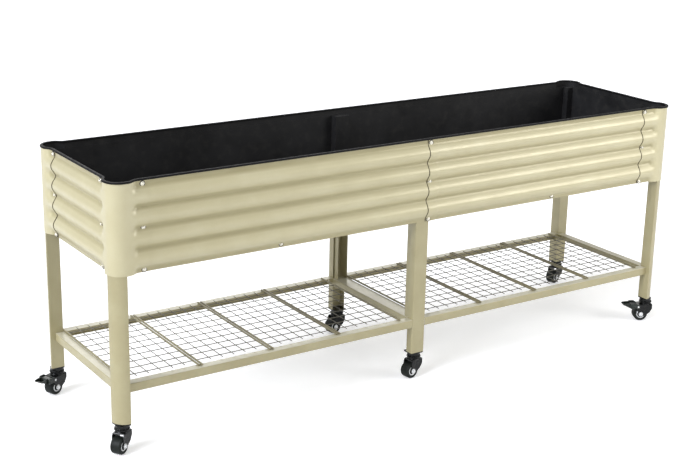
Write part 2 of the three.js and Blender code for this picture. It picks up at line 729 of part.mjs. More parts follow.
// The space inside the legs, wings and walls, narrowed by an inset.
function liningOutline(inset) {
  const face = LINING_FACE + inset;
  const corner = legInner + SEAT_GAP + inset;
  const halfLeg = MIDDLE_LEG_WIDTH / 2 + SEAT_GAP + inset;
  const legTip = MIDDLE_LEG_TIP + SEAT_GAP + inset;
  const quarter = [
    [face, corner],
    [corner, corner],
    [corner, face],
    [MIDDLE - halfLeg, face],
    [MIDDLE - halfLeg, legTip],
  ];
  const acrossX = ([x, y]) => [BED_LENGTH - x, y];
  const acrossY = ([x, y]) => [x, BED_WIDTH - y];
  return shapeOf([
    ...quarter,
    ...quarter.map(acrossX).reverse(),
    ...quarter.map(acrossX).map(acrossY),
    ...quarter.map(acrossY).reverse(),
  ]);
}

const beamCentres = [MIDDLE / 2, MIDDLE, MIDDLE * 3 / 2];
const beamNames = ['floor_beam_left', 'floor_beam_middle', 'floor_beam_right'];
beamCentres.forEach((centre, i) => {
  const start = centre === MIDDLE ? legTipStart : FRAME_FACE;
  addPiece(beamNames[i], beamAcross(
    centre, BEAM_WIDTH, BEAM_WALL, BED_BOTTOM + BEAM_RISE, BEAM_TOP, start, BED_WIDTH - start,
  ), GALVANISED_LOOK);
});

// A floor tray for the left half: a plate on the beams, turned down along its outer end.
function floorTray() {
  const edge = MIDDLE - SEAT_GAP / 2;
  const plate = prismZ(liningOutline(0), TRAY_BOTTOM, TRAY_TOP);
  const half = solid(plate).intersect(solid(box(
    0, edge, 0, BED_WIDTH, TRAY_BOTTOM - OVERCUT, TRAY_TOP + OVERCUT,
  )));
  const flangeStart = legInner + SEAT_GAP;
  const flange = box(
    LINING_FACE, LINING_FACE + TRAY_SHEET, flangeStart, BED_WIDTH - flangeStart,
    TRAY_BOTTOM - TRAY_FLANGE, TRAY_TOP,
  );
  const holes = [];
  for (let i = 0; i < DRAIN_COLUMNS; i++) {
    for (let j = 0; j < DRAIN_ROWS; j++) {
      const x = edge * (i + 0.5 + DRAIN_MARGIN) / (DRAIN_COLUMNS + 2 * DRAIN_MARGIN);
      const y = BED_WIDTH * (j + 0.5) / DRAIN_ROWS;
      const ring = arcPoints(x, y, DRAIN_RADIUS, 0, 360, DRAIN_SIDES).slice(0, -1);
      holes.push(prismZ(shapeOf(ring), TRAY_BOTTOM - OVERCUT, TRAY_TOP + OVERCUT));
    }
  }
  return cut(geometryOf(half.add(solid(flange))), holes);
}

const tray = floorTray();
addPiece('floor_tray_left', tray, GALVANISED_LOOK);
addPiece('floor_tray_right', halfTurn(tray), GALVANISED_LOOK);

// The liner follows the legs up to a ledge over their tops, then the rim into the trim's slot.
const linerOutside = solid(prismZ(rimOutline(linerDepth), LINER_LEDGE, RIM_HEIGHT))
  .add(solid(prismZ(liningOutline(0), LINER_BOTTOM, LINER_LEDGE + LINER / 2)));
const linerInside = solid(
  prismZ(rimOutline(linerDepth + LINER), LINER_LEDGE + LINER, RIM_HEIGHT + OVERCUT),
).add(solid(
  prismZ(liningOutline(LINER), LINER_BOTTOM + LINER, LINER_LEDGE + LINER + OVERCUT),
));
addPiece('bed_liner', geometryOf(linerOutside.subtract(linerInside)), LINER_LOOK);

// ---------------------------------------------------------------- casters

function turned(points, sides, phase) {
  const profile = points.map(([radius, y]) => new THREE.Vector2(radius, y));
  return new THREE.LatheGeometry(profile, sides, phase);
}

// A profile of (radius, z) points turned round the swivel axis.
function turnedUpright(points) {
  return turned(points, HEAD_SIDES, 0).rotateX(Math.PI / 2);
}

// A bar along Y through (x, z).
function rodAlongY(x, z, radius, sides, y0, y1) {
  const section = arcPoints(x, z, radius, 0, 360, sides).slice(0, -1);
  return prismY(section, y0, y1);
}

function wheel() {
  const half = WHEEL_WIDTH / 2;
  const bore = AXLE_RADIUS + RUN_GAP;
  const profile = [
    [bore, -half + HUB_RECESS],
    [WHEEL_RADIUS - TYRE_ROUND, -half],
    [WHEEL_RADIUS, -half + TYRE_ROUND],
    [WHEEL_RADIUS, half - TYRE_ROUND],
    [WHEEL_RADIUS - TYRE_ROUND, half],
    [bore, half - HUB_RECESS],
  ];
  const ring = turned([...profile, profile[0]], WHEEL_SIDES, Math.PI / WHEEL_SIDES);
  return geometryOf(solid(ring));
}

// Pressed fork: two cheeks that taper back to the axle, joined by the swivel race on top.
function fork(braked) {
  const axleZ = AXLE_HEIGHT;
  const cheek = [
    [FORK_FRONT, FORK_TOP],
    [FORK_FRONT, FORK_FRONT_LOW],
    [FORK_CHIN_X, FORK_CHIN_Z],
    [FORK_HEEL_X, FORK_HEEL_Z],
    ...arcPoints(TRAIL, axleZ, CHEEK_END_RADIUS, CHEEK_END_FROM, 0, CHEEK_END_STEPS),
    [PEDAL_PIVOT_X + FORK_PIN_MARGIN, PEDAL_PIVOT_Z - FORK_PIN_MARGIN],
    [PEDAL_PIVOT_X + FORK_PIN_MARGIN, PEDAL_PIVOT_Z + FORK_PIN_MARGIN],
    [FORK_BACK, FORK_TOP],
  ];
  const plainCheek = [
    ...cheek.slice(0, -3),
    [FORK_BACK + FORK_PIN_MARGIN, FORK_BACK_LOW],
    [FORK_BACK, FORK_TOP],
  ];
  const outline = braked ? cheek : plainCheek;
  const nutEnd = CHEEK_OUTER + AXLE_NUT;
  const race = turnedUpright([
    [0, FORK_TOP + RACE_HEIGHT],
    [RACE_RADIUS, FORK_TOP + RACE_HEIGHT],
    [RACE_RADIUS, FORK_TOP - CHEEK / 2],
    [0, FORK_TOP - CHEEK / 2],
  ]);
  const pieces = [
    box(FORK_FRONT, FORK_BACK, -CHEEK_OUTER, CHEEK_OUTER, FORK_TOP - CHEEK, FORK_TOP),
    prismY(outline, -CHEEK_OUTER, -CHEEK_INNER),
    prismY(outline, CHEEK_INNER, CHEEK_OUTER),
    race,
    rodAlongY(TRAIL, axleZ, AXLE_RADIUS, AXLE_SIDES, -CHEEK_OUTER, CHEEK_OUTER),
    rodAlongY(TRAIL, axleZ, AXLE_NUT_RADIUS, AXLE_NUT_SIDES, CHEEK_OUTER - CHEEK / 2, nutEnd),
    rodAlongY(TRAIL, axleZ, AXLE_NUT_RADIUS, AXLE_NUT_SIDES, -nutEnd, -CHEEK_OUTER + CHEEK / 2),
  ];
  if (braked) {
    const pinEnd = CHEEK_OUTER + SEAT_GAP + PEDAL + PEDAL_PIN_LENGTH;
    for (const [y0, y1] of [[CHEEK_INNER, pinEnd], [-pinEnd, -CHEEK_INNER]]) {
      pieces.push(
        rodAlongY(PEDAL_PIVOT_X, PEDAL_PIVOT_Z, PEDAL_PIN_RADIUS, AXLE_SIDES, y0, y1),
      );
    }
  }
  const bore = turnedUpright([
    [0, FORK_TOP + RACE_HEIGHT + OVERCUT],
    [KINGPIN_RADIUS + RUN_GAP, FORK_TOP + RACE_HEIGHT + OVERCUT],
    [KINGPIN_RADIUS + RUN_GAP, FORK_TOP - CHEEK - OVERCUT],
    [0, FORK_TOP - CHEEK - OVERCUT],
  ]);
  return cut(joined(pieces), [bore]);
}

// Fixed head: a plate under the leg, a stepped neck and the kingpin that holds the fork.
function casterHead(plateOutline) {
  const plateBottom = PLATE_TOP - PLATE;
  const pinHeadTop = FORK_TOP - CHEEK - SEAT_GAP;
  const neck = turnedUpright([
    [0, plateBottom + PLATE / 2],
    [NECK_RADIUS, plateBottom + PLATE / 2],
    [NECK_RADIUS, HEAD_BOTTOM + HEAD_HEIGHT],
    [HEAD_RADIUS, HEAD_BOTTOM + HEAD_HEIGHT],
    [HEAD_RADIUS, HEAD_BOTTOM],
    [KINGPIN_RADIUS, HEAD_BOTTOM],
    [KINGPIN_RADIUS, pinHeadTop],
    [KINGPIN_HEAD_RADIUS, pinHeadTop],
    [KINGPIN_HEAD_RADIUS, pinHeadTop - KINGPIN_HEAD],
    [0, pinHeadTop - KINGPIN_HEAD],
  ]);
  return joined([prismZ(shapeOf(plateOutline), plateBottom, PLATE_TOP), neck]);
}

// Pedal: ears on the pivot pins, a deck between them, turned down at its end, and the step.
function brakePedal() {
  const earInner = CHEEK_OUTER + SEAT_GAP;
  const earOuter = earInner + PEDAL;
  const rise = (STEP_TIP_Z - EAR_BOTTOM) / (STEP_TIP_X - DECK_END_X);
  const ear = [
    ...arcPoints(PEDAL_PIVOT_X, PEDAL_PIVOT_Z, EAR_ROUND, 90, 270, CHEEK_END_STEPS),
    [DECK_END_X, EAR_BOTTOM],
    [DECK_END_X, DECK_TOP + PEDAL],
    [DECK_END_X - PEDAL, EAR_TOP],
    [DECK_START_X, EAR_TOP],
  ];
  const deck = [
    [DECK_START_X, DECK_TOP - PEDAL],
    [DECK_END_X - PEDAL, DECK_TOP - PEDAL],
    [DECK_END_X - PEDAL, EAR_BOTTOM],
    [DECK_END_X, EAR_BOTTOM],
    [DECK_END_X, DECK_TOP],
    [DECK_START_X, DECK_TOP],
  ];
  const step = [
    [DECK_END_X - PEDAL, EAR_BOTTOM],
    [DECK_END_X, EAR_BOTTOM],
    [STEP_TIP_X, STEP_TIP_Z - PEDAL],
    [STEP_TIP_X, STEP_TIP_Z],
    [DECK_END_X - PEDAL, EAR_BOTTOM + PEDAL * (1 + rise)],
  ];
  const pinHole = PEDAL_PIN_RADIUS + RUN_GAP;
  return cut(joined([
    prismY(ear, earInner, earOuter),
    prismY(ear, -earOuter, -earInner),
    prismY(deck, -earInner - PEDAL / 2, earInner + PEDAL / 2),
    prismY(step, -STEP_HALF_WIDTH, STEP_HALF_WIDTH),
  ]), [
    rodAlongY(
      PEDAL_PIVOT_X, PEDAL_PIVOT_Z, pinHole, AXLE_SIDES,
      -earOuter - OVERCUT, earOuter + OVERCUT,
    ),
  ]);
}

// Plate outlines about the swivel axis: under a corner leg and under a middle leg.
const plateCentre = legInner - CORNER_CASTER_INSET;
const cornerPlate = [
  [plateCentre, plateCentre],
  ...arcPoints(plateCentre, plateCentre, LEG_RADIUS - PLATE_INSET, 180, 270, CORNER_STEPS),
];
const plateFace = FRAME_FACE + PLATE_INSET - MIDDLE_CASTER_INSET;
const plateHalf = MIDDLE_LEG_WIDTH / 2 - PLATE_INSET;
const middlePlate = [
  [-plateHalf, plateFace],
  [plateHalf, plateFace],
  [plateHalf, plateFace + MIDDLE_PLATE_DEPTH],
  [-plateHalf, plateFace + MIDDLE_PLATE_DEPTH],
];

for (const caster of CASTERS) {
  const fromLeft = { left: CORNER_CASTER_INSET, middle: MIDDLE };
  const x = caster.end === 'right' ? BED_LENGTH - CORNER_CASTER_INSET : fromLeft[caster.end];
  const inset = caster.corner ? CORNER_CASTER_INSET : MIDDLE_CASTER_INSET;
  const y = caster.side === 'front' ? inset : BED_WIDTH - inset;
  const flipX = caster.end === 'right' ? -1 : 1;
  const flipY = caster.side === 'front' ? 1 : -1;
  const plate = caster.corner ? cornerPlate : middlePlate;
  const outline = plate.map(([u, v]) => [u * flipX, v * flipY]);

  const assembly = new THREE.Group();
  assembly.position.set(x, y, 0);
  planter.add(assembly);
  addPiece(`caster_head_${caster.name}`, casterHead(outline), BLACK_STEEL_LOOK, assembly);

  const swivel = new THREE.Group();
  swivel.rotation.z = THREE.MathUtils.degToRad(caster.heading);
  assembly.add(swivel);
  addPiece(`caster_fork_${caster.name}`, fork(caster.brake), BLACK_STEEL_LOOK, swivel);
  const roller = addPiece(`caster_wheel_${caster.name}`, wheel(), TYRE_LOOK, swivel);
  roller.position.set(TRAIL, 0, AXLE_HEIGHT);
  if (caster.brake) {
    addPiece(`brake_pedal_${caster.name}`, brakePedal(), BLACK_STEEL_LOOK, swivel);
  }
}

// ---------------------------------------------------------------- origin

// The origin lies in the middle of the planter, on the floor.
const extent = new THREE.Box3().setFromObject(planter, true);
const middle = extent.getCenter(new THREE.Vector3());
planter.position.set(-middle.x, -middle.y, -extent.min.z);

const root = new THREE.Group();
root.add(planter);

export default root;
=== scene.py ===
import json
import math

import bmesh
import bpy
from mathutils import Matrix, Vector


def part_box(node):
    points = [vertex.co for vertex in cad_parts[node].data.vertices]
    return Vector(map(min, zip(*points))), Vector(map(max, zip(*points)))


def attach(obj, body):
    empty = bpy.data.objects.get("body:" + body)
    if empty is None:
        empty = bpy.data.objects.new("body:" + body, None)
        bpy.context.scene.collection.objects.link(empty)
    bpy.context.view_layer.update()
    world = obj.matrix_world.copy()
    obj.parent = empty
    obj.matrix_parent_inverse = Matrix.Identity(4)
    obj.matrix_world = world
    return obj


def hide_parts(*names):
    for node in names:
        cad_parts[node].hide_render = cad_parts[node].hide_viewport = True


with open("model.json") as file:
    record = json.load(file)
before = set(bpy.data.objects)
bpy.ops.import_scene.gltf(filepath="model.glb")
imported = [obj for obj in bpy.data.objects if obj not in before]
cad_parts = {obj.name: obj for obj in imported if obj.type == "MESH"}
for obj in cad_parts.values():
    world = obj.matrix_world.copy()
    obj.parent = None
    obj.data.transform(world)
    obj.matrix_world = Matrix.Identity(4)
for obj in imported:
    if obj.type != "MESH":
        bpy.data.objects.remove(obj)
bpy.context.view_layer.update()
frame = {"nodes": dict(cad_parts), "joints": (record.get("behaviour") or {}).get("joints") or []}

# ---------------- sizes, in millimetres

# Bed
BED_LENGTH = 2032
BED_WIDTH = 508
RIM_HEIGHT = 762
BED_DEPTH = 254
BED_BOTTOM = RIM_HEIGHT - BED_DEPTH
MIDDLE = BED_LENGTH / 2
CORNER_RADIUS = 41.5
SHEET = 1.2
LAP = SHEET + 0.35
GAP = 0.3
LINER_WALL = 1.5

# Corrugation. The valleys fade out between two distances from the bed's corner.
RIDGE_COUNT = 4
RIDGE_PITCH = 58
RIDGE_DEPTH = 13.5
RIDGE_STEPS = 24
RIDGE_SHAPE = 0.72  # below 1 the ridges are wide and the valleys narrow
TOP_BAND = 14
FADE_NEAR = 50
FADE_FAR = 80
FADE_STEPS = 8
CORNER_STEPS = 16

# Reach of the corner panels along side and end, and the laps of the sheets
SHORT_SIDE_ARM = 107
SHORT_END_ARM = 100
LONG_SIDE_ARM = 126
LONG_END_ARM = 103
CORNER_LAP = 18
MIDDLE_SEAM = MIDDLE + 8.5
MIDDLE_LAP = 28
JOGGLE = 12
JOGGLE_STEPS = 6
SEAM_SHADOW = 2.2

# Rubber trim on the rim
TRIM_WALL = 1.8
TRIM_COVER = 2.6
TRIM_TOP = 2.4

# Legs. A wing is a corner leg's screw flange behind the wall.
WALL_INNER = RIDGE_DEPTH + LAP + SHEET
FRAME_FACE = WALL_INNER + GAP
LEG_WALL = 1.5
LEG_OUTER = SHEET + GAP
LEG_RADIUS = CORNER_RADIUS - LEG_OUTER
LEG_INNER = LEG_OUTER + LEG_RADIUS
LEG_BOTTOM = 84
LEG_TOP = RIM_HEIGHT - 20
SHORT_SIDE_WING = 98
SHORT_END_WING = 80
LONG_SIDE_WING = 154
LONG_END_WING = 126
WING_BOTTOM = BED_BOTTOM + 4
MIDDLE_LEG_WIDTH = 47
MIDDLE_LEG_DEPTH = 27
LEG_TIP = FRAME_FACE + MIDDLE_LEG_DEPTH
UPRIGHT_FACE = FRAME_FACE + LEG_WALL + GAP
UPRIGHT_WIDTH = 38
UPRIGHT_DEPTH = 46

# Shelf frame and floor beams
SHELF_TOP = 195
RAIL_HEIGHT = 25.5
RAIL_FLANGE = 27
RAIL_LIP = 10
RAIL_WALL = 1.5
RAIL_INNER = FRAME_FACE + RAIL_FLANGE
MIDDLE_RAIL_WIDTH = 48
BAY_START = LEG_INNER + GAP
BAY_END = MIDDLE - MIDDLE_LEG_WIDTH / 2 - GAP
BEAM_BOTTOM = BED_BOTTOM + 2
BEAM_TOP = BED_BOTTOM + 26
BEAM_WIDTH = 38
BEAM_WALL = 1.5

# Wire shelf panels
MESH_PER_BAY = 4
MESH_SPACE = 4
MESH_END_SPACE = 30.4
MESH_COLUMNS = 6
ROD_RADIUS = 3
ROD_BEARING = 13
WIRE_RADIUS = 1.2
WIRE_INSET = 3
CROSS_WIRES = 10
CROSS_INSET = 24.6

# Casters, from the swivel axis and the floor
WHEEL_WIDTH = 31
WHEEL_HALF = WHEEL_WIDTH / 2
WHEEL_RADIUS = 25
AXLE_HEIGHT = WHEEL_RADIUS * math.cos(math.pi / 16)  # the solid wheel stands on one of 16 sides
TRAIL = 17
HUB_RADIUS = 11.6
RING_RADIUS = 14.6
TYRE_BORE = 14.7
CHEEK = 2
CHEEK_INNER = WHEEL_HALF + 1
CHEEK_OUTER = CHEEK_INNER + CHEEK
FORK_TOP = 60
FORK_SHOULDER = 3.5
RACE_HEIGHT = 5
PIN_RADIUS = 5
HEAD_BOTTOM = FORK_TOP + RACE_HEIGHT + GAP
HEAD_HEIGHT = 6.5
PLATE_TOP = LEG_BOTTOM - GAP
PLATE = 4
PLATE_INSET = 1
PLATE_LENGTH = 40
CORNER_PIVOT = 23.5  # swivel axis from the outsides of both walls
MIDDLE_PIVOT = 36  # swivel axis from the outside of the side wall
PEDAL_PIVOT = (28, 52)
PEDAL_SHEET = 1.5
PEDAL_INNER = CHEEK_OUTER + GAP
PEDAL_OUTER = PEDAL_INNER + PEDAL_SHEET
STEP_START = (54, 45)
STEP_HALF = 14
STEP_SLOPE = 0.5
TINY = 0.05  # closes a turned shape on its axis

# The bed's front left corner at ridge level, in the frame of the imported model
trim_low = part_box("rim_trim")[0]
SHIFT = Vector((trim_low.x * 1000 + GAP + TRIM_WALL, trim_low.y * 1000 + GAP + TRIM_WALL, 0))


def place(x, y, z):
    """A point of the bed's own frame in metres."""
    return (Vector((x, y, z)) + SHIFT) / 1000


# ---------------- camera and stage

scene = bpy.context.scene
scene.view_settings.view_transform = "Standard"

# Fitted to the photo
CAMERA_SPOT = (-1376.3, -3124.3, 1703.4)
CAMERA_YAW = math.radians(33.672)
CAMERA_PITCH = math.radians(-17.22)
CAMERA_ROLL = math.radians(1.217)
LENS = 72.59
SENSOR = 36


def add_camera():
    level = Vector((math.cos(CAMERA_YAW), -math.sin(CAMERA_YAW), 0))
    forward = Vector((
        math.sin(CAMERA_YAW) * math.cos(CAMERA_PITCH),
        math.cos(CAMERA_YAW) * math.cos(CAMERA_PITCH),
        math.sin(CAMERA_PITCH),
    ))
    upward = level.cross(forward)
    right = level * math.cos(CAMERA_ROLL) + upward * math.sin(CAMERA_ROLL)
    up = upward * math.cos(CAMERA_ROLL) - level * math.sin(CAMERA_ROLL)
    data = bpy.data.cameras.new("camera")
    data.lens = LENS
    data.sensor_width = SENSOR
    data.clip_end = 200
    obj = bpy.data.objects.new("camera", data)
    turn = Matrix((
        (right.x, up.x, -forward.x), (right.y, up.y, -forward.y), (right.z, up.z, -forward.z),
    )).to_4x4()
    obj.matrix_world = Matrix.Translation(place(*CAMERA_SPOT)) @ turn
    scene.collection.objects.link(obj)
    scene.camera = obj


def add_light(kind, name, power, colour, toward, spot=(0, 0, 0), **settings):
    """A light at a spot whose beam comes from the way it is toward."""
    data = bpy.data.lights.new(name, kind)
    data.energy = power
    data.color = colour
    for key, value in settings.items():
        setattr(data, key, value)
    obj = bpy.data.objects.new(name, data)
    obj.location = spot
    obj.rotation_euler = Vector(toward).to_track_quat("Z", "Y").to_euler()
    scene.collection.objects.link(obj)


add_camera()
for name, power, colour, toward, softness in (
    ("key_light", 3.1, (0.95, 0.98, 1.06), (-0.79, -0.1, 0.6), 34),
    ("back_light", 0.8, (1, 0.99, 0.97), (0.25, 0.86, 0.44), 50),
    ("front_fill", 0.34, (1, 1, 0.99), (-0.3, -0.93, 0.2), 60),
):
    add_light("SUN", name, power, colour, toward, angle=math.radians(softness))
add_light(
    "AREA", "right_softbox", 36, (1, 0.99, 0.98), (1.8, -2.4, 1.1), (2.6, -2.4, 1.7),
    shape="DISK", size=1.6,
)

# ---------------- materials

def linear(r, g, b):
    """A colour given as 0 to 255 screen values."""
    def one(value):
        value /= 255
        return value / 12.92 if value <= 0.04045 else ((value + 0.055) / 1.055) ** 2.4
    return (one(r), one(g), one(b), 1)


class Nodes:
    """A material's node tree with a Principled shader."""

    def __init__(self, name, **values):
        self.material = bpy.data.materials.new(name)
        self.material.use_nodes = True
        self.tree = self.material.node_tree
        self.shader = self.tree.nodes["Principled BSDF"]
        for key, value in values.items():
            self.shader.inputs[key.replace("_", " ")].default_value = value
        self.place = self.add("ShaderNodeTexCoord").outputs["Object"]

    def add(self, kind, **settings):
        node = self.tree.nodes.new(kind)
        for key, value in settings.items():
            if key in node.inputs:
                node.inputs[key].default_value = value
            else:
                setattr(node, key, value)
        return node

    def link(self, source, target):
        self.tree.links.new(source, target)

    def noise(self, scale, detail=3, roughness=0.55, stretch=None):
        node = self.add("ShaderNodeTexNoise", Scale=scale, Detail=detail, Roughness=roughness)
        source = self.place
        if stretch:
            mapping = self.add("ShaderNodeMapping")
            mapping.inputs["Scale"].default_value = stretch
            self.link(self.place, mapping.inputs["Vector"])
            source = mapping.outputs["Vector"]
        self.link(source, node.inputs["Vector"])
        return node.outputs["Fac"]

    def ramp(self, source, stops):
        node = self.add("ShaderNodeValToRGB")
        elements = node.color_ramp.elements
        while len(elements) < len(stops):
            elements.new(0.5)
        for element, (position, colour) in zip(elements, stops):
            element.position = position
            element.color = colour
        self.link(source, node.inputs["Fac"])
        return node.outputs["Color"]

    def grey_ramp(self, source, low, high, start=0.3, end=0.7):
        return self.ramp(source, [(start, (low, low, low, 1)), (end, (high, high, high, 1))])

    def blend(self, kind, share, first, second):
        node = self.add("ShaderNodeMix", data_type="RGBA", blend_type=kind)
        factor = node.inputs[0]
        if isinstance(share, (int, float)):
            factor.default_value = share
        else:
            self.link(share, factor)
        for socket, value in ((node.inputs[6], first), (node.inputs[7], second)):
            if isinstance(value, tuple):
                socket.default_value = value
            else:
                self.link(value, socket)
        return node.outputs[2]

    def colour(self, source):
        self.link(source, self.shader.inputs["Base Color"])

    def roughness(self, source, low, high):
        self.link(self.grey_ramp(source, low, high), self.shader.inputs["Roughness"])

    def bump(self, layers):
        """Layers of (height source, strength, distance in millimetres)."""
        normal = None
        for source, strength, distance in layers:
            node = self.add("ShaderNodeBump", Strength=strength, Distance=distance / 1000)
            self.link(source, node.inputs["Height"])
            if normal:
                self.link(normal, node.inputs["Normal"])
            normal = node.outputs["Normal"]
        self.link(normal, self.shader.inputs["Normal"])


def worn_edges(nodes, size, low, high):
    """1 on outward edges and 0 elsewhere, from a rounded normal."""
    bevel = nodes.add("ShaderNodeBevel", samples=4, Radius=size / 1000)
    geometry = nodes.add("ShaderNodeNewGeometry")
    product = nodes.add("ShaderNodeVectorMath", operation="DOT_PRODUCT")
    nodes.link(bevel.outputs["Normal"], product.inputs[0])
    nodes.link(geometry.outputs["Normal"], product.inputs[1])
    inverse = nodes.add("ShaderNodeMath", operation="SUBTRACT")
    inverse.inputs[0].default_value = 1
    nodes.link(product.outputs["Value"], inverse.inputs[1])
    return nodes.grey_ramp(inverse.outputs["Value"], 0, 1, low, high)


def paint(name, base, dark, light, roughness, metallic, dust=None, valley_shade=None):
    """Powder coat: faint mottling, orange peel, smears, dust and a painted top light on what faces
    up, painted shade in valleys.
    """
    nodes = Nodes(name, Metallic=metallic, Specular_IOR_Level=0.5)
    nodes.shader.inputs["Coat Weight"].default_value = 0.35
    nodes.shader.inputs["Coat Roughness"].default_value = 0.24
    cloud = nodes.noise(9, 4)
    smear = nodes.noise(30, 3, stretch=(1, 1, 0.18))
    speckle = nodes.grey_ramp(nodes.noise(300, 2), 0.7, 1, 0.35, 0.6)
    tone = nodes.ramp(cloud, [(0.3, dark), (0.5, base), (0.72, light)])
    tone = nodes.blend("MIX", nodes.grey_ramp(smear, 0, 0.16, 0.5, 0.75), tone, light)
    tone = nodes.blend("MULTIPLY", 0.05, tone, speckle)
    # Dust and a painted top light: what faces up is mixed toward the lighter dust colour.
    if dust:
        geometry = nodes.add("ShaderNodeNewGeometry")
        parts = nodes.add("ShaderNodeSeparateXYZ")
        nodes.link(geometry.outputs["Normal"], parts.inputs["Vector"])
        dust_and_top_light_mask = nodes.grey_ramp(parts.outputs["Z"], 0, 1, 0.6, 0.95)
        patches = nodes.grey_ramp(nodes.noise(24, 4), 0.7, 1)
        tone = nodes.blend("MIX", nodes.blend("MULTIPLY", 1.0, dust_and_top_light_mask, patches), tone, dust)
    # Painted shade: darker down in the valleys of the corrugation, where shade falls.
    if valley_shade:
        valley = nodes.add("ShaderNodeAttribute", attribute_name="valley").outputs["Fac"]
        depth = nodes.grey_ramp(valley, 0, 1, 0.55, 1)
        patches = nodes.grey_ramp(cloud, 0.7, 1)
        tone = nodes.blend("MIX", nodes.blend("MULTIPLY", 1.0, depth, patches), tone, valley_shade)
    nodes.colour(tone)
    nodes.roughness(nodes.noise(60, 3), roughness - 0.06, roughness + 0.1)
    nodes.bump([(nodes.noise(260, 2), 0.12, 0.3), (nodes.noise(14, 2), 0.1, 3)])
    return nodes.material


# The valley colour of the panels is painted shade in the corrugation's creases.
PANEL_PAINT = paint(
    "panel_powder_coat", base=linear(194, 186, 150), dark=linear(190, 182, 146),
    light=linear(199, 192, 158), roughness=0.34, metallic=0.12, valley_shade=linear(160, 151, 112),
)
# The frame's dust colour on the tops is partly real dust and partly painted top light.
FRAME_PAINT = paint(
    "frame_powder_coat", base=linear(168, 159, 122), dark=linear(163, 154, 117),
    light=linear(174, 166, 130), roughness=0.36, metallic=0.1, dust=linear(206, 201, 178),
)
# Painted shade: the wires' paint is darker than the rods' to stand in for their shaded sides.
SHADED_WIRE_PAINT = paint(
    "wire_coat_painted_shade", base=linear(92, 88, 75), dark=linear(80, 76, 64), light=linear(106, 101, 87),
    roughness=0.5, metallic=0.1,
)
ROD_PAINT = paint(
    "rod_coat", base=linear(136, 128, 96), dark=linear(124, 116, 86), light=linear(150, 142, 112),
    roughness=0.42, metallic=0.15,
)
SCREW_PAINT = paint(
    "screw_coat", base=linear(226, 222, 206), dark=linear(210, 206, 188),
    light=linear(238, 235, 224), roughness=0.2, metallic=0.75,
)


def galvanised():
    nodes = Nodes("galvanised_zinc", Metallic=0.85)
    spangle = nodes.add("ShaderNodeTexVoronoi", Scale=90)
    nodes.link(nodes.place, spangle.inputs["Vector"])
    tone = nodes.ramp(
        spangle.outputs["Color"], [(0.2, linear(150, 153, 154)), (0.8, linear(188, 190, 188))],
    )
    cloudy = nodes.blend("MULTIPLY", 0.35, tone, nodes.grey_ramp(nodes.noise(18), 0.7, 1))
    nodes.colour(cloudy)
    nodes.roughness(spangle.outputs["Distance"], 0.38, 0.56)
    nodes.bump([(nodes.noise(150), 0.12, 0.3)])
    return nodes.material


def rubber(name, base, light, roughness, grain, strength, specular):
    """Dull, finely grained stuff. Grain is the scale of its bumps."""
    nodes = Nodes(name, Specular_IOR_Level=specular)
    nodes.colour(nodes.ramp(nodes.noise(40, 4), [(0.3, base), (0.75, light)]))
    nodes.roughness(nodes.noise(90), roughness - 0.08, roughness + 0.1)
    nodes.bump([(nodes.noise(grain, 3), strength, 0.4)])
    return nodes.material


def liner_film():
    nodes = Nodes("liner_film", Specular_IOR_Level=0.4)
    base = nodes.ramp(nodes.noise(6, 5), [(0.3, linear(20, 20, 21)), (0.7, linear(33, 33, 34))])
    dust = nodes.grey_ramp(nodes.noise(38, 5), 0, 0.12, 0.5, 0.8)
    nodes.colour(nodes.blend("MIX", dust, base, linear(96, 92, 84)))
    nodes.roughness(nodes.noise(22), 0.42, 0.62)
    folds = nodes.noise(7, 3, stretch=(1, 1, 0.35))
    nodes.bump([(folds, 0.35, 6), (nodes.noise(240, 2), 0.15, 0.3)])
    return nodes.material


def black_steel(name, dark, light, worn):
    nodes = Nodes(name, Specular_IOR_Level=0.28)
    nodes.shader.inputs["Coat Weight"].default_value = 0.12
    nodes.shader.inputs["Coat Roughness"].default_value = 0.1
    tone = nodes.ramp(nodes.noise(60, 4), [(0.3, dark), (0.75, light)])
    nodes.colour(nodes.blend("MIX", worn_edges(nodes, 0.9, 0.1, 0.35), tone, worn))
    nodes.roughness(nodes.noise(120), 0.2, 0.32)
    nodes.bump([(nodes.noise(300, 2), 0.12, 0.3)])
    return nodes.material


def zinc_plate(name, base, dark):
    nodes = Nodes(name, Metallic=0.6)
    nodes.colour(nodes.ramp(nodes.noise(300, 4), [(0.3, dark), (0.7, base)]))
    nodes.roughness(nodes.noise(500), 0.2, 0.38)
    nodes.bump([(nodes.noise(800, 2), 0.1, 0.2)])
    return nodes.material


GALVANISED = galvanised()
LINER = liner_film()
TRIM_RUBBER = rubber(
    "trim_rubber", base=linear(6, 6, 7), light=linear(14, 14, 15), roughness=0.55, grain=500,
    strength=0.25, specular=0.2,
)
TYRE = rubber(
    "wheel_tread", base=linear(16, 19, 17), light=linear(30, 35, 31), roughness=0.5, grain=420,
    strength=0.3, specular=0.22,
)
# Painted shadow beside the lapped seams, and partly the raw cut edges' own dark colour.
PAINTED_SEAM_SHADE = rubber(
    "painted_seam_shade", base=linear(58, 50, 34), light=linear(84, 75, 54), roughness=0.7, grain=400,
    strength=0.3, specular=0.4,
)
WASHER = rubber(
    "screw_washer", base=linear(34, 31, 24), light=linear(52, 48, 38), roughness=0.6, grain=400,
    strength=0.3, specular=0.4,
)
BLACK_STEEL = black_steel(
    "black_enamel", dark=linear(6, 7, 7), light=linear(16, 18, 17), worn=linear(58, 60, 58),
)
PEDAL_STEEL = black_steel(
    "pedal_enamel", dark=linear(28, 32, 29), light=linear(44, 49, 45), worn=linear(120, 126, 120),
)
ZINC = zinc_plate("zinc_plate", base=linear(244, 245, 245), dark=linear(216, 218, 219))


# ---------------- floor and backdrop

FLOOR_REACH = 40
FLOOR_DROP = 0.0005
FLOOR_GLOW = 0.34  # seen by the camera alone
SKY_LIGHT = 0.46


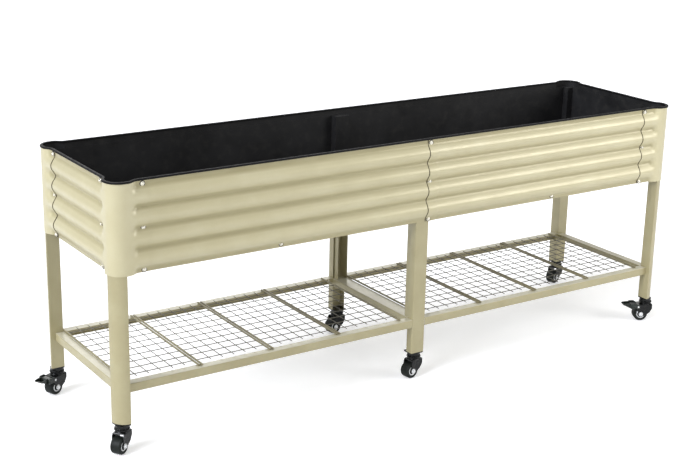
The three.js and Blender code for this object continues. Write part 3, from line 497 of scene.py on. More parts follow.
def floor_material():
    nodes = Nodes("studio_floor", Specular_IOR_Level=0.15, Roughness=0.9)
    pale, paler = (0.9, 0.9, 0.9, 1), (0.93, 0.93, 0.93, 1)
    nodes.colour(nodes.ramp(nodes.noise(2, 3), [(0.3, pale), (0.7, paler)]))
    rays = nodes.add("ShaderNodeLightPath")
    glow = nodes.add("ShaderNodeMath", operation="MULTIPLY")
    nodes.link(rays.outputs["Is Camera Ray"], glow.inputs[0])
    glow.inputs[1].default_value = FLOOR_GLOW
    nodes.shader.inputs["Emission Color"].default_value = (1, 1, 1, 1)
    nodes.link(glow.outputs[0], nodes.shader.inputs["Emission Strength"])
    return nodes.material


def add_floor():
    mesh = bpy.data.meshes.new("floor")
    bm = bmesh.new()
    bmesh.ops.create_grid(bm, x_segments=8, y_segments=8, size=FLOOR_REACH)
    bm.to_mesh(mesh)
    bm.free()
    mesh.materials.append(floor_material())
    floor = bpy.data.objects.new("floor", mesh)
    floor.location.z = -FLOOR_DROP
    scene.collection.objects.link(floor)


def add_backdrop():
    """White to the camera, and a weaker white that lights the object."""
    world = bpy.data.worlds.new("studio")
    world.use_nodes = True
    scene.world = world
    tree = world.node_tree
    background = tree.nodes["Background"]
    background.inputs["Color"].default_value = (1, 1, 1, 1)
    rays = tree.nodes.new("ShaderNodeLightPath")
    strength = tree.nodes.new("ShaderNodeMapRange")
    strength.inputs["To Min"].default_value = SKY_LIGHT
    strength.inputs["To Max"].default_value = 1.0
    tree.links.new(rays.outputs["Is Camera Ray"], strength.inputs["Value"])
    tree.links.new(strength.outputs["Result"], background.inputs["Strength"])


add_floor()
add_backdrop()


# ---------------- mesh making

def clean(mesh):
    """Points in one place become one, and the faces point outward."""
    bm = bmesh.new()
    bm.from_mesh(mesh)
    bmesh.ops.remove_doubles(bm, verts=bm.verts, dist=1e-6)
    bmesh.ops.recalc_face_normals(bm, faces=bm.faces)
    bm.to_mesh(mesh)
    bm.free()


def make(
    name, verts, faces, material, body, nodes=(), slot=None, sharp=35, move=None, second=None,
    valleys=None,
):
    """A piece from points in millimetres of the bed's frame, or of a caster's with move.

    Edges sharper than sharp degrees aren't smoothed.
    second is another material and a test on the middle of each face that gets it.
    valleys is a number for each point, which the panel paint reads to paint shade in the valleys.
    """
    mesh = bpy.data.meshes.new(name)
    if move is None:
        points = [place(*v) for v in verts]
    else:
        points = [move @ (Vector(v) / 1000) for v in verts]
    mesh.from_pydata(points, [], faces)
    mesh.materials.append(material)
    if second:
        mesh.materials.append(second[0])
        for polygon in mesh.polygons:
            corners = [verts[i] for i in faces[polygon.index]]
            centre = [sum(corner[k] for corner in corners) / len(corners) for k in range(3)]
            polygon.material_index = int(second[1](*centre))
    if valleys:
        mesh.attributes.new("valley", "FLOAT", "POINT").data.foreach_set("value", valleys)
    clean(mesh)
    mesh.shade_smooth()
    mesh.set_sharp_from_angle(angle=math.radians(sharp))
    obj = bpy.data.objects.new(name, mesh)
    scene.collection.objects.link(obj)
    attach(obj, body)
    if nodes:
        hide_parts(*nodes)
    return obj


def join(parts):
    """Several (verts, faces) as one."""
    verts, faces = [], []
    for more_verts, more_faces in parts:
        start = len(verts)
        verts.extend(more_verts)
        faces.extend([tuple(i + start for i in face) for face in more_faces])
    return verts, faces


def moved(part, change):
    verts, faces = part
    return [change(v) for v in verts], faces


def half_turn(v):
    return (BED_LENGTH - v[0], BED_WIDTH - v[1], v[2])


def other_end(v):
    return (BED_LENGTH - v[0], v[1], v[2])


def smooth(t):
    """Eased from 0 to 1."""
    t = min(1, max(0, t))
    return t * t * (3 - 2 * t)


def fillet(points, radii, steps=4):
    """A closed outline with its corners rounded."""
    if isinstance(radii, (int, float)):
        radii = [radii] * len(points)
    made = []
    count = len(points)
    for i, radius in enumerate(radii):
        here = Vector(points[i])
        before = Vector(points[i - 1]) - here
        after = Vector(points[(i + 1) % count]) - here
        if radius <= 0:
            made.append(tuple(here))
            continue
        half = before.angle(after) / 2
        reach = min(radius / math.tan(half), 0.48 * before.length, 0.48 * after.length)
        start = here + before.normalized() * reach
        end = here + after.normalized() * reach
        for k in range(steps + 1):
            t = k / steps
            made.append(tuple(start * (1 - t) ** 2 + here * 2 * t * (1 - t) + end * t * t))
    return made


def arc(cx, cy, radius, start, end, steps):
    """Points from one angle to another, in degrees."""
    angles = [math.radians(start + (end - start) * i / steps) for i in range(steps + 1)]
    return [(cx + radius * math.cos(a), cy + radius * math.sin(a)) for a in angles]


AXES = {
    "x": lambda u, v, w: (w, u, v),
    "y": lambda u, v, w: (u, w, v),
    "z": lambda u, v, w: (u, v, w),
}


def extrude(points, axis, low, high, hole=None):
    """An outline carried along an axis. A hole has as many points as the outline."""
    to3 = AXES[axis]
    count = len(points)
    rings = [[to3(u, v, w) for u, v in points] for w in (low, high)]
    verts = rings[0] + rings[1]
    faces = [(i, (i + 1) % count, (i + 1) % count + count, i + count) for i in range(count)]
    if hole is None:
        faces += [tuple(range(count)), tuple(range(count, 2 * count))]
        return verts, faces
    verts += [to3(u, v, w) for w in (low, high) for u, v in hole]
    for i in range(count):
        j = (i + 1) % count
        faces.append((i + 2 * count, j + 2 * count, j + 3 * count, i + 3 * count))
        faces.append((i, j, j + 2 * count, i + 2 * count))
        faces.append((i + count, j + count, j + 3 * count, i + 3 * count))
    return verts, faces


def lathe(profile, sides, closed=False):
    """(radius, z) points turned round Z."""
    verts, faces = [], []
    for radius, z in profile:
        for k in range(sides):
            angle = 2 * math.pi * k / sides
            verts.append((radius * math.cos(angle), radius * math.sin(angle), z))
    last = len(profile) if closed else len(profile) - 1
    for i in range(last):
        a, b = i * sides, ((i + 1) % len(profile)) * sides
        for k in range(sides):
            n = (k + 1) % sides
            faces.append((a + k, a + n, b + n, b + k))
    return verts, faces


def tube(start, end, radius, sides=8, cap=0.5):
    """A round bar with slightly domed ends."""
    a, b = Vector(start), Vector(end)
    along = (b - a).normalized()
    side = along.orthogonal().normalized()
    other = along.cross(side)
    stations = [(a, 0.6), (a + along * cap, 1), (b - along * cap, 1), (b, 0.6)]
    verts, faces = [], []
    for centre, share in stations:
        for k in range(sides):
            angle = 2 * math.pi * (k + 0.5) / sides
            out = side * math.cos(angle) + other * math.sin(angle)
            verts.append(tuple(centre + out * radius * share))
    for i in range(3):
        for k in range(sides):
            n = (k + 1) % sides
            faces.append((i * sides + k, i * sides + n, (i + 1) * sides + n, (i + 1) * sides + k))
    faces += [tuple(range(sides)), tuple(range(3 * sides, 4 * sides))]
    return verts, faces


def blob(centre, radius, height):
    """A small weld bead."""
    cx, cy, cz = centre
    verts, faces = lathe([
        (radius, -height), (radius, 0), (radius * 0.7, height * 0.8), (TINY, height),
    ], 8)
    return [(x + cx, y + cy, z + cz) for x, y, z in verts], faces


# ---------------- corrugated walls

def fade_at(distance):
    return smooth((distance - FADE_NEAR) / (FADE_FAR - FADE_NEAR))


def wall_rows():
    """Heights down the wall and how far each stands out, 1 on a ridge and 0 in a valley."""
    rows = [(RIM_HEIGHT, 0)]
    for i in range(RIDGE_COUNT):
        top = RIM_HEIGHT - TOP_BAND - RIDGE_PITCH * i
        for k in range(RIDGE_STEPS):
            swell = (1 - math.cos(2 * math.pi * k / RIDGE_STEPS)) / 2
            rows.append((top - RIDGE_PITCH * k / RIDGE_STEPS, swell ** RIDGE_SHAPE))
    rows.append((RIM_HEIGHT - TOP_BAND - RIDGE_PITCH * RIDGE_COUNT, 0))
    rows.append((BED_BOTTOM, 0))
    return rows


def inside(column, depth):
    """The point a depth into the bed from a column."""
    x, y, in_x, in_y = column[:4]
    return x + in_x * depth, y + in_y * depth


def wall_sheet(columns):
    """A corrugated sheet through columns of (x, y, way in as x and y, valley share, layer).

    The valley share is 1 where the valleys have their full depth.
    The layer is how far in the sheet lies.
    """
    rows = wall_rows()
    count, height = len(columns), len(rows)
    verts = []
    for face in (0, SHEET):
        for column in columns:
            fade, layer = column[4:]
            for z, ridge in rows:
                x, y = inside(column, RIDGE_DEPTH * (1 - ridge) * fade + layer + face)
                verts.append((x, y, z))
    back = count * height
    faces = []
    for c in range(count - 1):
        for r in range(height - 1):
            a = c * height + r
            b = a + height
            faces.append((a, b, b + 1, a + 1))
            faces.append((a + back, a + back + 1, b + back + 1, b + back))
        for r in (0, height - 1):
            a = c * height + r
            faces.append((a, a + height, a + height + back, a + back))
    for c in (0, count - 1):
        for r in range(height - 1):
            a = c * height + r
            faces.append((a, a + 1, a + 1 + back, a + back))
    return verts, faces


def valley_shares(columns):
    """How far each point of wall_sheet lies down in a valley."""
    one_face = [(1 - ridge) * column[4] for column in columns for z, ridge in wall_rows()]
    return one_face * 2


def stations(start, end):
    """Distances from the corner between two places, close together where the valleys end."""
    fading = [FADE_NEAR + (FADE_FAR - FADE_NEAR) * i / FADE_STEPS for i in range(FADE_STEPS + 1)]
    return [start] + [s for s in fading if start < s < end] + [end]


def corner_columns(end_arm, side_arm):
    """Columns of a corner panel, along the end, round the corner and along the side."""
    columns = [(0, s, 1, 0, fade_at(s), 0) for s in reversed(stations(CORNER_RADIUS, end_arm))]
    for i in range(CORNER_STEPS + 1):
        angle = math.pi * (1 + i / CORNER_STEPS / 2)
        out_x, out_y = math.cos(angle), math.sin(angle)
        x, y = CORNER_RADIUS * (1 + out_x), CORNER_RADIUS * (1 + out_y)
        columns.append((x, y, -out_x, -out_y, 0, 0))
    columns += [(s, 0, 0, 1, fade_at(s), 0) for s in stations(CORNER_RADIUS, side_arm)]
    return columns


def side_columns(places, layer=LAP):
    return [(x, 0, 0, 1, 1, layer) for x in places]


front_right_seam = BED_LENGTH - LONG_SIDE_ARM
left_rear_seam = BED_WIDTH - LONG_END_ARM
overlap_end = MIDDLE_SEAM + MIDDLE_LAP
left_columns = side_columns((
    SHORT_SIDE_ARM - CORNER_LAP, MIDDLE_SEAM - SEAM_SHADOW, MIDDLE_SEAM, overlap_end - 1,
))
right_columns = side_columns((MIDDLE_SEAM, overlap_end), 0)
for step in range(1, JOGGLE_STEPS + 1):
    way = step / JOGGLE_STEPS
    right_columns += side_columns([overlap_end + JOGGLE * way], LAP * smooth(way))
right_columns += side_columns((
    front_right_seam - SEAM_SHADOW, front_right_seam, front_right_seam + CORNER_LAP,
))
end_columns = [(0, y, 1, 0, 1, LAP) for y in (
    SHORT_END_ARM - CORNER_LAP, left_rear_seam - SEAM_SHADOW, left_rear_seam,
    left_rear_seam + CORNER_LAP,
)]
NEAR_WALL = 40
CUT_EDGE = 0.1


def beside_seam(x, y, z):
    """Whether a face is a cut edge that faces the front or the left, or in the gap beside it. These
    faces get a painted shadow of the lapped edge; on the cut edge it is partly the raw edge's own
    dark colour.

    The rear and right walls are the same by half a turn.
    """
    on_right = x > BED_LENGTH - NEAR_WALL
    on_rear = y > BED_WIDTH - NEAR_WALL and x > NEAR_WALL
    if on_right or on_rear or (x > MIDDLE and y > BED_WIDTH / 2):
        x, y = BED_LENGTH - x, BED_WIDTH - y
    if x < NEAR_WALL and y > CORNER_RADIUS:
        return left_rear_seam - SEAM_SHADOW < y < left_rear_seam + CUT_EDGE
    return any(seam - SEAM_SHADOW < x < seam + CUT_EDGE for seam in (MIDDLE_SEAM, front_right_seam))


short_corner = corner_columns(SHORT_END_ARM, SHORT_SIDE_ARM)
long_corner = corner_columns(LONG_END_ARM, LONG_SIDE_ARM)
for name, opposite, columns, change in (
    ("corner_panel_front_left", "corner_panel_rear_right", short_corner, tuple),
    ("corner_panel_front_right", "corner_panel_rear_left", long_corner, other_end),
    ("side_panel_front_left", "side_panel_rear_right", left_columns, tuple),
    ("side_panel_front_right", "side_panel_rear_left", right_columns, tuple),
    ("end_panel_left", "end_panel_right", end_columns, tuple),
):
    here = moved(wall_sheet(columns), change)
    for panel_name, part in ((name, here), (opposite, moved(here, half_turn))):
        # The faces at the seams get the dark seam material: painted shadow of the lapped edges.
        make(
            panel_name + "_sheet", *part, PANEL_PAINT, "planter", [panel_name], "panel_paint",
            second=(PAINTED_SEAM_SHADE, beside_seam), valleys=valley_shares(columns),
        )


# ---------------- rim trim and liner

def rim_stations():
    """Columns round the whole rim, anticlockwise."""
    corner = corner_columns(FADE_FAR, FADE_FAR)

    def across_x(c):
        return (BED_LENGTH - c[0], c[1], -c[2], c[3], c[4], c[5])

    def across_y(c):
        return (c[0], BED_WIDTH - c[1], c[2], -c[3], c[4], c[5])

    right_front = [across_x(c) for c in reversed(corner)]
    right_rear = [across_y(across_x(c)) for c in corner]
    left_rear = [across_y(c) for c in reversed(corner)]
    return corner + right_front + right_rear + left_rear


def rim_sweep(section):
    """A closed section of (depth, z) points carried round the rim."""
    columns = rim_stations()
    verts, faces = [], []
    for column in columns:
        for depth, z in section:
            x, y = inside(column, RIDGE_DEPTH * column[4] + depth)
            verts.append((x, y, z))
    count = len(section)
    for s in range(len(columns)):
        here, there = s * count, (s + 1) % len(columns) * count
        for i in range(count):
            j = (i + 1) % count
            faces.append((here + i, here + j, there + j, there + i))
    return verts, faces


slot_outer = -GAP
slot_inner = LAP + SHEET + GAP + LINER_WALL + GAP
slot_top = RIM_HEIGHT + GAP
trim_outer = slot_outer - TRIM_WALL
trim_inner = slot_inner + TRIM_WALL
trim_bottom = RIM_HEIGHT - TRIM_COVER
trim_top = slot_top + TRIM_TOP
trim_section = fillet([
    (trim_outer, trim_bottom), (trim_outer, trim_top), (trim_inner, trim_top),
    (trim_inner, trim_bottom), (slot_inner, trim_bottom), (slot_inner, slot_top),
    (slot_outer, slot_top), (slot_outer, trim_bottom),
], [0.8, 2.6, 2.6, 0.8, 0, 0, 0, 0])
make(
    "rim_trim_strip", *rim_sweep(trim_section), TRIM_RUBBER, "planter", ["rim_trim"],
    "rubber_trim", sharp=50,
)

# These solids are seen as they are, with their edges softened
for node_name, material, slot, softness in (
    ("bed_liner", LINER, "liner", 0.8),
    ("floor_tray_left", GALVANISED, "galvanised", 0.4),
    ("floor_tray_right", GALVANISED, "galvanised", 0.4),
):
    node = frame["nodes"][node_name]
    node.data.materials.clear()
    node.data.materials.append(material)
    node.data.shade_smooth()
    node.data.set_sharp_from_angle(angle=math.radians(30))
    bevel = node.modifiers.new("soft_edges", "BEVEL")
    bevel.width = softness / 1000
    bevel.segments = 2
    bevel.limit_method = "ANGLE"
    bevel.angle_limit = math.radians(40)


# ---------------- legs

def steel(name, part, nodes, material=FRAME_PAINT, slot="frame_paint"):
    return make(name, *part, material, "planter", nodes, slot, 32)


def corner_leg(end_wing, side_wing):
    """Quarter round tube with a screw flange along each wall."""
    centre = LEG_OUTER + LEG_RADIUS
    steps = 14
    outer = [(centre, centre)] + arc(centre, centre, LEG_RADIUS, 180, 270, steps)
    inner_radius = LEG_RADIUS - LEG_WALL
    bend = math.degrees(math.asin(LEG_WALL / inner_radius))
    inner = [(centre - LEG_WALL, centre - LEG_WALL)] + arc(
        centre, centre, inner_radius, 180 + bend, 270 - bend, steps,
    )
    root = centre - LEG_WALL / 2
    face = FRAME_FACE + LEG_WALL
    side_flange = [(root, FRAME_FACE), (side_wing, FRAME_FACE), (side_wing, face), (root, face)]
    end_flange = [(FRAME_FACE, root), (face, root), (face, end_wing), (FRAME_FACE, end_wing)]
    return join([
        extrude(outer, "z", LEG_BOTTOM, LEG_TOP, inner),
        extrude(fillet(side_flange, 0.5), "z", WING_BOTTOM, LEG_TOP),
        extrude(fillet(end_flange, 0.5), "z", WING_BOTTOM, LEG_TOP),
    ])


short_leg = corner_leg(SHORT_END_WING, SHORT_SIDE_WING)
long_leg = moved(corner_leg(LONG_END_WING, LONG_SIDE_WING), other_end)
for name, part in (
    ("corner_leg_front_left", short_leg), ("corner_leg_rear_right", moved(short_leg, half_turn)),
    ("corner_leg_front_right", long_leg), ("corner_leg_rear_left", moved(long_leg, half_turn)),
):
    steel(name + "_tube", part, [name])


def channel(width, face, depth, low, high):
    """A sheet channel bent round the bed's middle, open to the inside of the bed."""
    left, right, tip = MIDDLE - width / 2, MIDDLE + width / 2, face + depth
    outline = fillet([
        (left, face), (right, face), (right, tip), (right - LEG_WALL, tip),
        (right - LEG_WALL, face + LEG_WALL), (left + LEG_WALL, face + LEG_WALL),
        (left + LEG_WALL, tip), (left, tip),
    ], [3.2, 3.2, 0.4, 0.4, 1.7, 1.7, 0.4, 0.4])
    return extrude(outline, "z", low, high)


middle_leg = channel(MIDDLE_LEG_WIDTH, FRAME_FACE, MIDDLE_LEG_DEPTH, LEG_BOTTOM, LEG_TOP)
upright = channel(UPRIGHT_WIDTH, UPRIGHT_FACE, UPRIGHT_DEPTH, SHELF_TOP + GAP, BEAM_BOTTOM - GAP)
steel("middle_leg_front_channel", middle_leg, ["middle_leg_front"])
steel("middle_leg_rear_channel", moved(middle_leg, half_turn), ["middle_leg_rear"])
steel("middle_upright_front_channel", upright, ["middle_upright_front"])
steel("middle_upright_rear_channel", moved(upright, half_turn), ["middle_upright_rear"])

# ---------------- shelf frame and beams

rail_bottom = SHELF_TOP - RAIL_HEIGHT
rail_section = fillet([
    (FRAME_FACE, rail_bottom), (FRAME_FACE + RAIL_LIP, rail_bottom),
    (FRAME_FACE + RAIL_LIP, rail_bottom + RAIL_WALL),
    (FRAME_FACE + RAIL_WALL, rail_bottom + RAIL_WALL),
    (FRAME_FACE + RAIL_WALL, SHELF_TOP - RAIL_WALL), (RAIL_INNER, SHELF_TOP - RAIL_WALL),
    (RAIL_INNER, SHELF_TOP), (FRAME_FACE, SHELF_TOP),
], [2.6, 0.4, 0.4, 1.1, 1.1, 0.4, 0.4, 2.6])
side_rail = extrude(rail_section, "x", BAY_START, BAY_END)
far_rail = extrude(rail_section, "x", BED_LENGTH - BAY_END, BED_LENGTH - BAY_START)
end_start = max(BAY_START, RAIL_INNER + GAP)
end_rail = extrude(rail_section, "y", end_start, BED_WIDTH - end_start)
for rail_name, part in (
    ("front_left", side_rail), ("rear_right", moved(side_rail, half_turn)),
    ("front_right", far_rail), ("rear_left", moved(far_rail, half_turn)),
    ("left_end", end_rail), ("right_end", moved(end_rail, half_turn)),
):
    steel(f"shelf_rail_{rail_name}_bar", part, ["shelf_rail_" + rail_name])


def cross_beam(centre, width, wall, low, high, start):
    """A channel open at the bottom, from the front to the rear."""
    left, right = centre - width / 2, centre + width / 2
    outline = fillet([
        (left, low), (left + wall, low), (left + wall, high - wall), (right - wall, high - wall),
        (right - wall, low), (right, low), (right, high), (left, high),
    ], [0.4, 0.4, 1.1, 1.1, 0.4, 0.4, 2.6, 2.6])
    return extrude(outline, "y", start, BED_WIDTH - start)


tip_start = LEG_TIP + GAP
steel(
    "shelf_rail_middle_bar",
    cross_beam(MIDDLE, MIDDLE_RAIL_WIDTH, RAIL_WALL, rail_bottom, SHELF_TOP, tip_start),
    ["shelf_rail_middle"],
)
for name, centre, start in (
    ("floor_beam_left", MIDDLE / 2, FRAME_FACE),
    ("floor_beam_middle", MIDDLE, tip_start),
    ("floor_beam_right", MIDDLE * 1.5, FRAME_FACE),
):
    part = cross_beam(centre, BEAM_WIDTH, BEAM_WALL, BEAM_BOTTOM, BEAM_TOP, start)
    steel(name + "_channel", part, [name], GALVANISED, "galvanised")

# ---------------- wire shelf panels

rod_level = SHELF_TOP + GAP + ROD_RADIUS
wire_level = rod_level + 2 * WIRE_RADIUS + 0.1
mesh_pitch = (BAY_END - BAY_START - MESH_END_SPACE) / MESH_PER_BAY
mesh_width = mesh_pitch - MESH_SPACE
cross_span = BED_WIDTH - 2 * (RAIL_INNER + CROSS_INSET)


def rod_places(start):
    return start + ROD_RADIUS, start + mesh_width - ROD_RADIUS


def mesh_rods(start):
    near, far = RAIL_INNER - ROD_BEARING, BED_WIDTH - RAIL_INNER + ROD_BEARING
    return join([
        tube((x, near, rod_level), (x, far, rod_level), ROD_RADIUS, 14, 0.9)
        for x in rod_places(start)
    ])


def mesh_wires(start):
    """Cross wires welded between the rods, long wires on top of them, and the weld beads."""
    left, right = rod_places(start)
    crossings = [
        BED_WIDTH / 2 + cross_span * (i / (CROSS_WIRES - 1) - 0.5) for i in range(CROSS_WIRES)
    ]
    parts = []
    for y in crossings:
        parts.append(tube((left, y, rod_level), (right, y, rod_level), WIRE_RADIUS, 8, 0.1))
        for x in (left + ROD_RADIUS * 0.9, right - ROD_RADIUS * 0.9):
            parts.append(blob((x, y, rod_level + 0.3), 1.9, 1.5))
    near, far = RAIL_INNER + WIRE_INSET, BED_WIDTH - RAIL_INNER - WIRE_INSET
    for i in range(1, MESH_COLUMNS):
        x = left + (right - left) * i / MESH_COLUMNS
        parts.append(tube((x, near, wire_level), (x, far, wire_level), WIRE_RADIUS))
        parts += [blob((x, y, rod_level + WIRE_RADIUS), 1.5, 0.7) for y in crossings]
    return join(parts)


for i in range(2 * MESH_PER_BAY):
    bay = BAY_START if i < MESH_PER_BAY else BED_LENGTH - BAY_END
    start = bay + (i % MESH_PER_BAY) * mesh_pitch
    name = f"shelf_mesh_{i + 1}"
    make(name + "_wires", *mesh_wires(start), SHADED_WIRE_PAINT, "planter", [name], "wire_paint", 40)
    make(name + "_rods", *mesh_rods(start), ROD_PAINT, "planter", (), "wire_paint", 40)

# ---------------- casters

def along_y(part):
    """A piece turned about Z laid down to turn about Y."""
    return moved(part, lambda v: (v[0], v[2], v[1]))


def shifted(part, dx, dy, dz):
    return moved(part, lambda v: (v[0] + dx, v[1] + dy, v[2] + dz))


def on_both_sides(part):
    """A piece and its mirror image across the caster."""
    return join([part, moved(part, lambda v: (v[0], -v[1], v[2]))])


def temporary(part):
    mesh = bpy.data.meshes.new("temporary")
    mesh.from_pydata(part[0], [], part[1])
    clean(mesh)
    obj = bpy.data.objects.new("temporary", mesh)
    scene.collection.objects.link(obj)
    return obj


def shared(first, second):
    """The space that two pieces share, as one piece."""
    target, tool = temporary(first), temporary(second)
    modifier = target.modifiers.new("cut", "BOOLEAN")
    modifier.operation = "INTERSECT"
    modifier.object = tool
    modifier.solver = "EXACT"
    graph = bpy.context.evaluated_depsgraph_get()
    mesh = bpy.data.meshes.new_from_object(target.evaluated_get(graph))
    for obj in (target, tool):
        bpy.data.objects.remove(obj)
    return [tuple(v.co) for v in mesh.vertices], [tuple(p.vertices) for p in mesh.polygons]


def fork_body(braked):
    """Pressed fork: an arch with round shoulders, cut to the fork's side view."""
    outer, inner, ends = CHEEK_OUTER, CHEEK_INNER, 10
    bend, inner_bend = FORK_SHOULDER, FORK_SHOULDER - CHEEK
    arch = fillet([
        (-outer, ends), (-outer, FORK_TOP), (outer, FORK_TOP), (outer, ends),
        (inner, ends), (inner, FORK_TOP - CHEEK), (-inner, FORK_TOP - CHEEK), (-inner, ends),
    ], [0, bend, bend, 0, 0, inner_bend, inner_bend, 0], 6)
    front = [(-21, FORK_TOP + 1), (-21, 45), (-13, 30.5), (2, 20)]
    heel = arc(TRAIL, AXLE_HEIGHT, 8, -110, 0, 8)
    rear = [(33, 47), (33, 57)] if braked else [(24, 52)]
    radii = [0, 6, 9, 9] + [0] * len(heel) + [4] * len(rear) + [0]
    side = fillet(front + heel + rear + [(19, FORK_TOP + 1)], radii, 5)
    return shared(extrude(arch, "x", -30, 45), extrude(side, "y", -30, 30))


def axle_fittings():
    """Flanged nut and bolt head on the axle, outside the cheeks."""
    flange = lathe([(TINY, 0), (7.6, 0), (7.6, 0.8), (6.6, 1.3), (TINY, 1.3)], 28)
    crown = lathe([(TINY, 1.2), (6.2, 1.2), (6.2, 3.5), (5.4, 4.3), (3.4, 4.5), (TINY, 4.5)], 6)
    return on_both_sides(shifted(along_y(join([flange, crown])), TRAIL, CHEEK_OUTER, AXLE_HEIGHT))


def wheel_tyre():
    bore, tread, half = TYRE_BORE, AXLE_HEIGHT, WHEEL_HALF
    profile = fillet([
        (bore, -half + 0.6), (tread - 2.2, -half), (tread, -half + 3.5), (tread, half - 3.5),
        (tread - 2.2, half), (bore, half - 0.6), (bore, half - 2.5), (bore, -half + 2.5),
    ], [0.5, 1.6, 2.2, 2.2, 1.6, 0.5, 0, 0])
    return along_y(lathe(profile, 56, closed=True))


def wheel_web():
    half = WHEEL_HALF
    return on_both_sides(along_y(lathe([
        (4.4, half - 4), (4.4, half - 1.2), (7.4, half - 1.2), (8, half - 1.9), (8.4, half - 3.2),
        (10.2, half - 3.2), (10.8, half - 2.2), (HUB_RADIUS, half - 1.8), (HUB_RADIUS, half - 3.5),
    ], 48)))


def wheel_ring():
    half = WHEEL_HALF
    return on_both_sides(along_y(lathe([
        (HUB_RADIUS, half - 3), (HUB_RADIUS, half - 0.9), (12.3, half - 0.4), (14, half - 0.4),
        (RING_RADIUS, half - 1), (RING_RADIUS, half - 3.5),
    ], 48)))


def head_rings():
    """Swivel head: two stepped rings with a groove between them, and the neck."""
    low, high = HEAD_BOTTOM, HEAD_BOTTOM + HEAD_HEIGHT
    plate_low = PLATE_TOP - PLATE
    return lathe([
        (PIN_RADIUS, low), (20.6, low), (21.6, low + 0.6), (22, low + 1.6), (22, low + 3),
        (21.2, low + 3.9), (20, low + 4.3), (19.4, low + 4.9), (20.8, high - 0.6), (21, high),
        (20.4, high + 0.8), (19.2, high + 1.4), (18.8, plate_low - 1.4), (19.6, plate_low + 1),
        (PIN_RADIUS, plate_low + 1),
    ], 52, closed=True)


def race_ring():
    """The fork's half of the swivel bearing."""
    bore, low = PIN_RADIUS + GAP, FORK_TOP
    return lathe([
        (bore, low - 1.2), (17.6, low - 1.2), (19.2, low - 0.2), (20, low + 1.2), (20, low + 2.4),
        (19.2, low + 3.6), (17.8, low + 4.4), (15, low + RACE_HEIGHT), (bore, low + RACE_HEIGHT),
    ], 52, closed=True)


def kingpin():
    high, top = HEAD_BOTTOM + 1, FORK_TOP - CHEEK - GAP
    return lathe([
        (TINY, high), (PIN_RADIUS, high), (PIN_RADIUS, top), (7.6, top), (8, top - 0.5),
        (7.4, top - 1.6), (6, top - 2), (TINY, top - 2),
    ], 28)


def mounting_plate(side, end):
    """The plate under a leg, which follows the leg's outline."""
    if end == "middle":
        half = MIDDLE_LEG_WIDTH / 2 - PLATE_INSET
        face = FRAME_FACE + PLATE_INSET - MIDDLE_PIVOT
        back = face + PLATE_LENGTH
        outline = [(-half, face), (half, face), (half, back), (-half, back)]
        radii = 1.2
    else:
        centre = LEG_INNER - CORNER_PIVOT
        outline = [(centre, centre)] + arc(centre, centre, LEG_RADIUS - PLATE_INSET, 180, 270, 14)
        radii = [1.5] + [0] * (len(outline) - 1)
    flip_x = -1 if end == "right" else 1
    flip_y = 1 if side == "front" else -1
    outline = fillet([(u * flip_x, v * flip_y) for u, v in outline], radii)
    return extrude(outline, "z", PLATE_TOP - PLATE, PLATE_TOP)


def pedal_plate():
    """Ears beside the fork, the deck between them, and the step with its flanges and ribs."""
    ear = fillet([
        (28, 58.5), (22.5, 56), (21.6, 52), (22.5, 48), (28, 45.7), STEP_START, (54, 60.5),
        (52.5, 63.5), (36, 63.5),
    ], [3, 3, 2, 3, 4, 1, 2, 1.5, 5])
    deck = fillet([
        (35, 57.5), (50.5, 57.5), (52.5, 55.5), (52.5, 45), STEP_START, (54, 56), (51, 59),
        (35, 59),
    ], [0.5, 1, 1, 0.3, 0.3, 2, 2, 0.5], 3)
    step = fillet([
        (52.5, 45), STEP_START, (76, 56), (81, 57.4), (81.6, 58.9), (75.5, 57.6), (52.5, 47.25),
    ], [0, 0, 3, 0.6, 0.6, 3, 0], 3)
    flange = fillet([
        (52.5, 45.2), (54, 45.2), (79, 57.4), (80.6, 60.4), (66, 62.4), (52.5, 62.8),
    ], [0, 1, 2, 1, 4, 0])
    parts = [
        on_both_sides(extrude(ear, "y", PEDAL_INNER, PEDAL_OUTER)),
        extrude(deck, "y", -PEDAL_INNER - 0.7, PEDAL_INNER + 0.7),
        extrude(step, "y", -STEP_HALF, STEP_HALF),
        on_both_sides(extrude(flange, "y", STEP_HALF - 1.4, STEP_HALF)),
    ]
    for x in (60, 65.5, 71):
        z = STEP_START[1] + (x - STEP_START[0]) * STEP_SLOPE + PEDAL_SHEET
        rib = [(x - 1.2, z), (x + 1.2, z + 0.6), (x + 0.6, z + 1.5), (x - 0.6, z + 0.9)]
        parts.append(extrude(fillet(rib, 0.3, 2), "y", -11, 11))
    return join(parts)


def pedal_rivets():
    head = along_y(lathe([(TINY, 0), (3.4, 0), (3.2, 0.7), (2, 1.15), (TINY, 1.2)], 24))
    return on_both_sides(shifted(head, PEDAL_PIVOT[0], PEDAL_OUTER, PEDAL_PIVOT[1]))


def spring_clip():
    """A bent strip of spring steel from the fork's crown down over the wheel."""
    strip = fillet([
        (20, 58.2), (30, 56.6), (33.5, 53), (34.3, 47), (33.2, 46.6), (32.4, 52.4), (29.3, 55.4),
        (20, 57),
    ], [0, 4, 3, 0.3, 0.3, 3, 4, 0])
    return extrude(strip, "y", -6.5, 6.5)


FORKS = {braked: fork_body(braked) for braked in (False, True)}
joint_of = {joint["name"]: joint for joint in frame["joints"]}


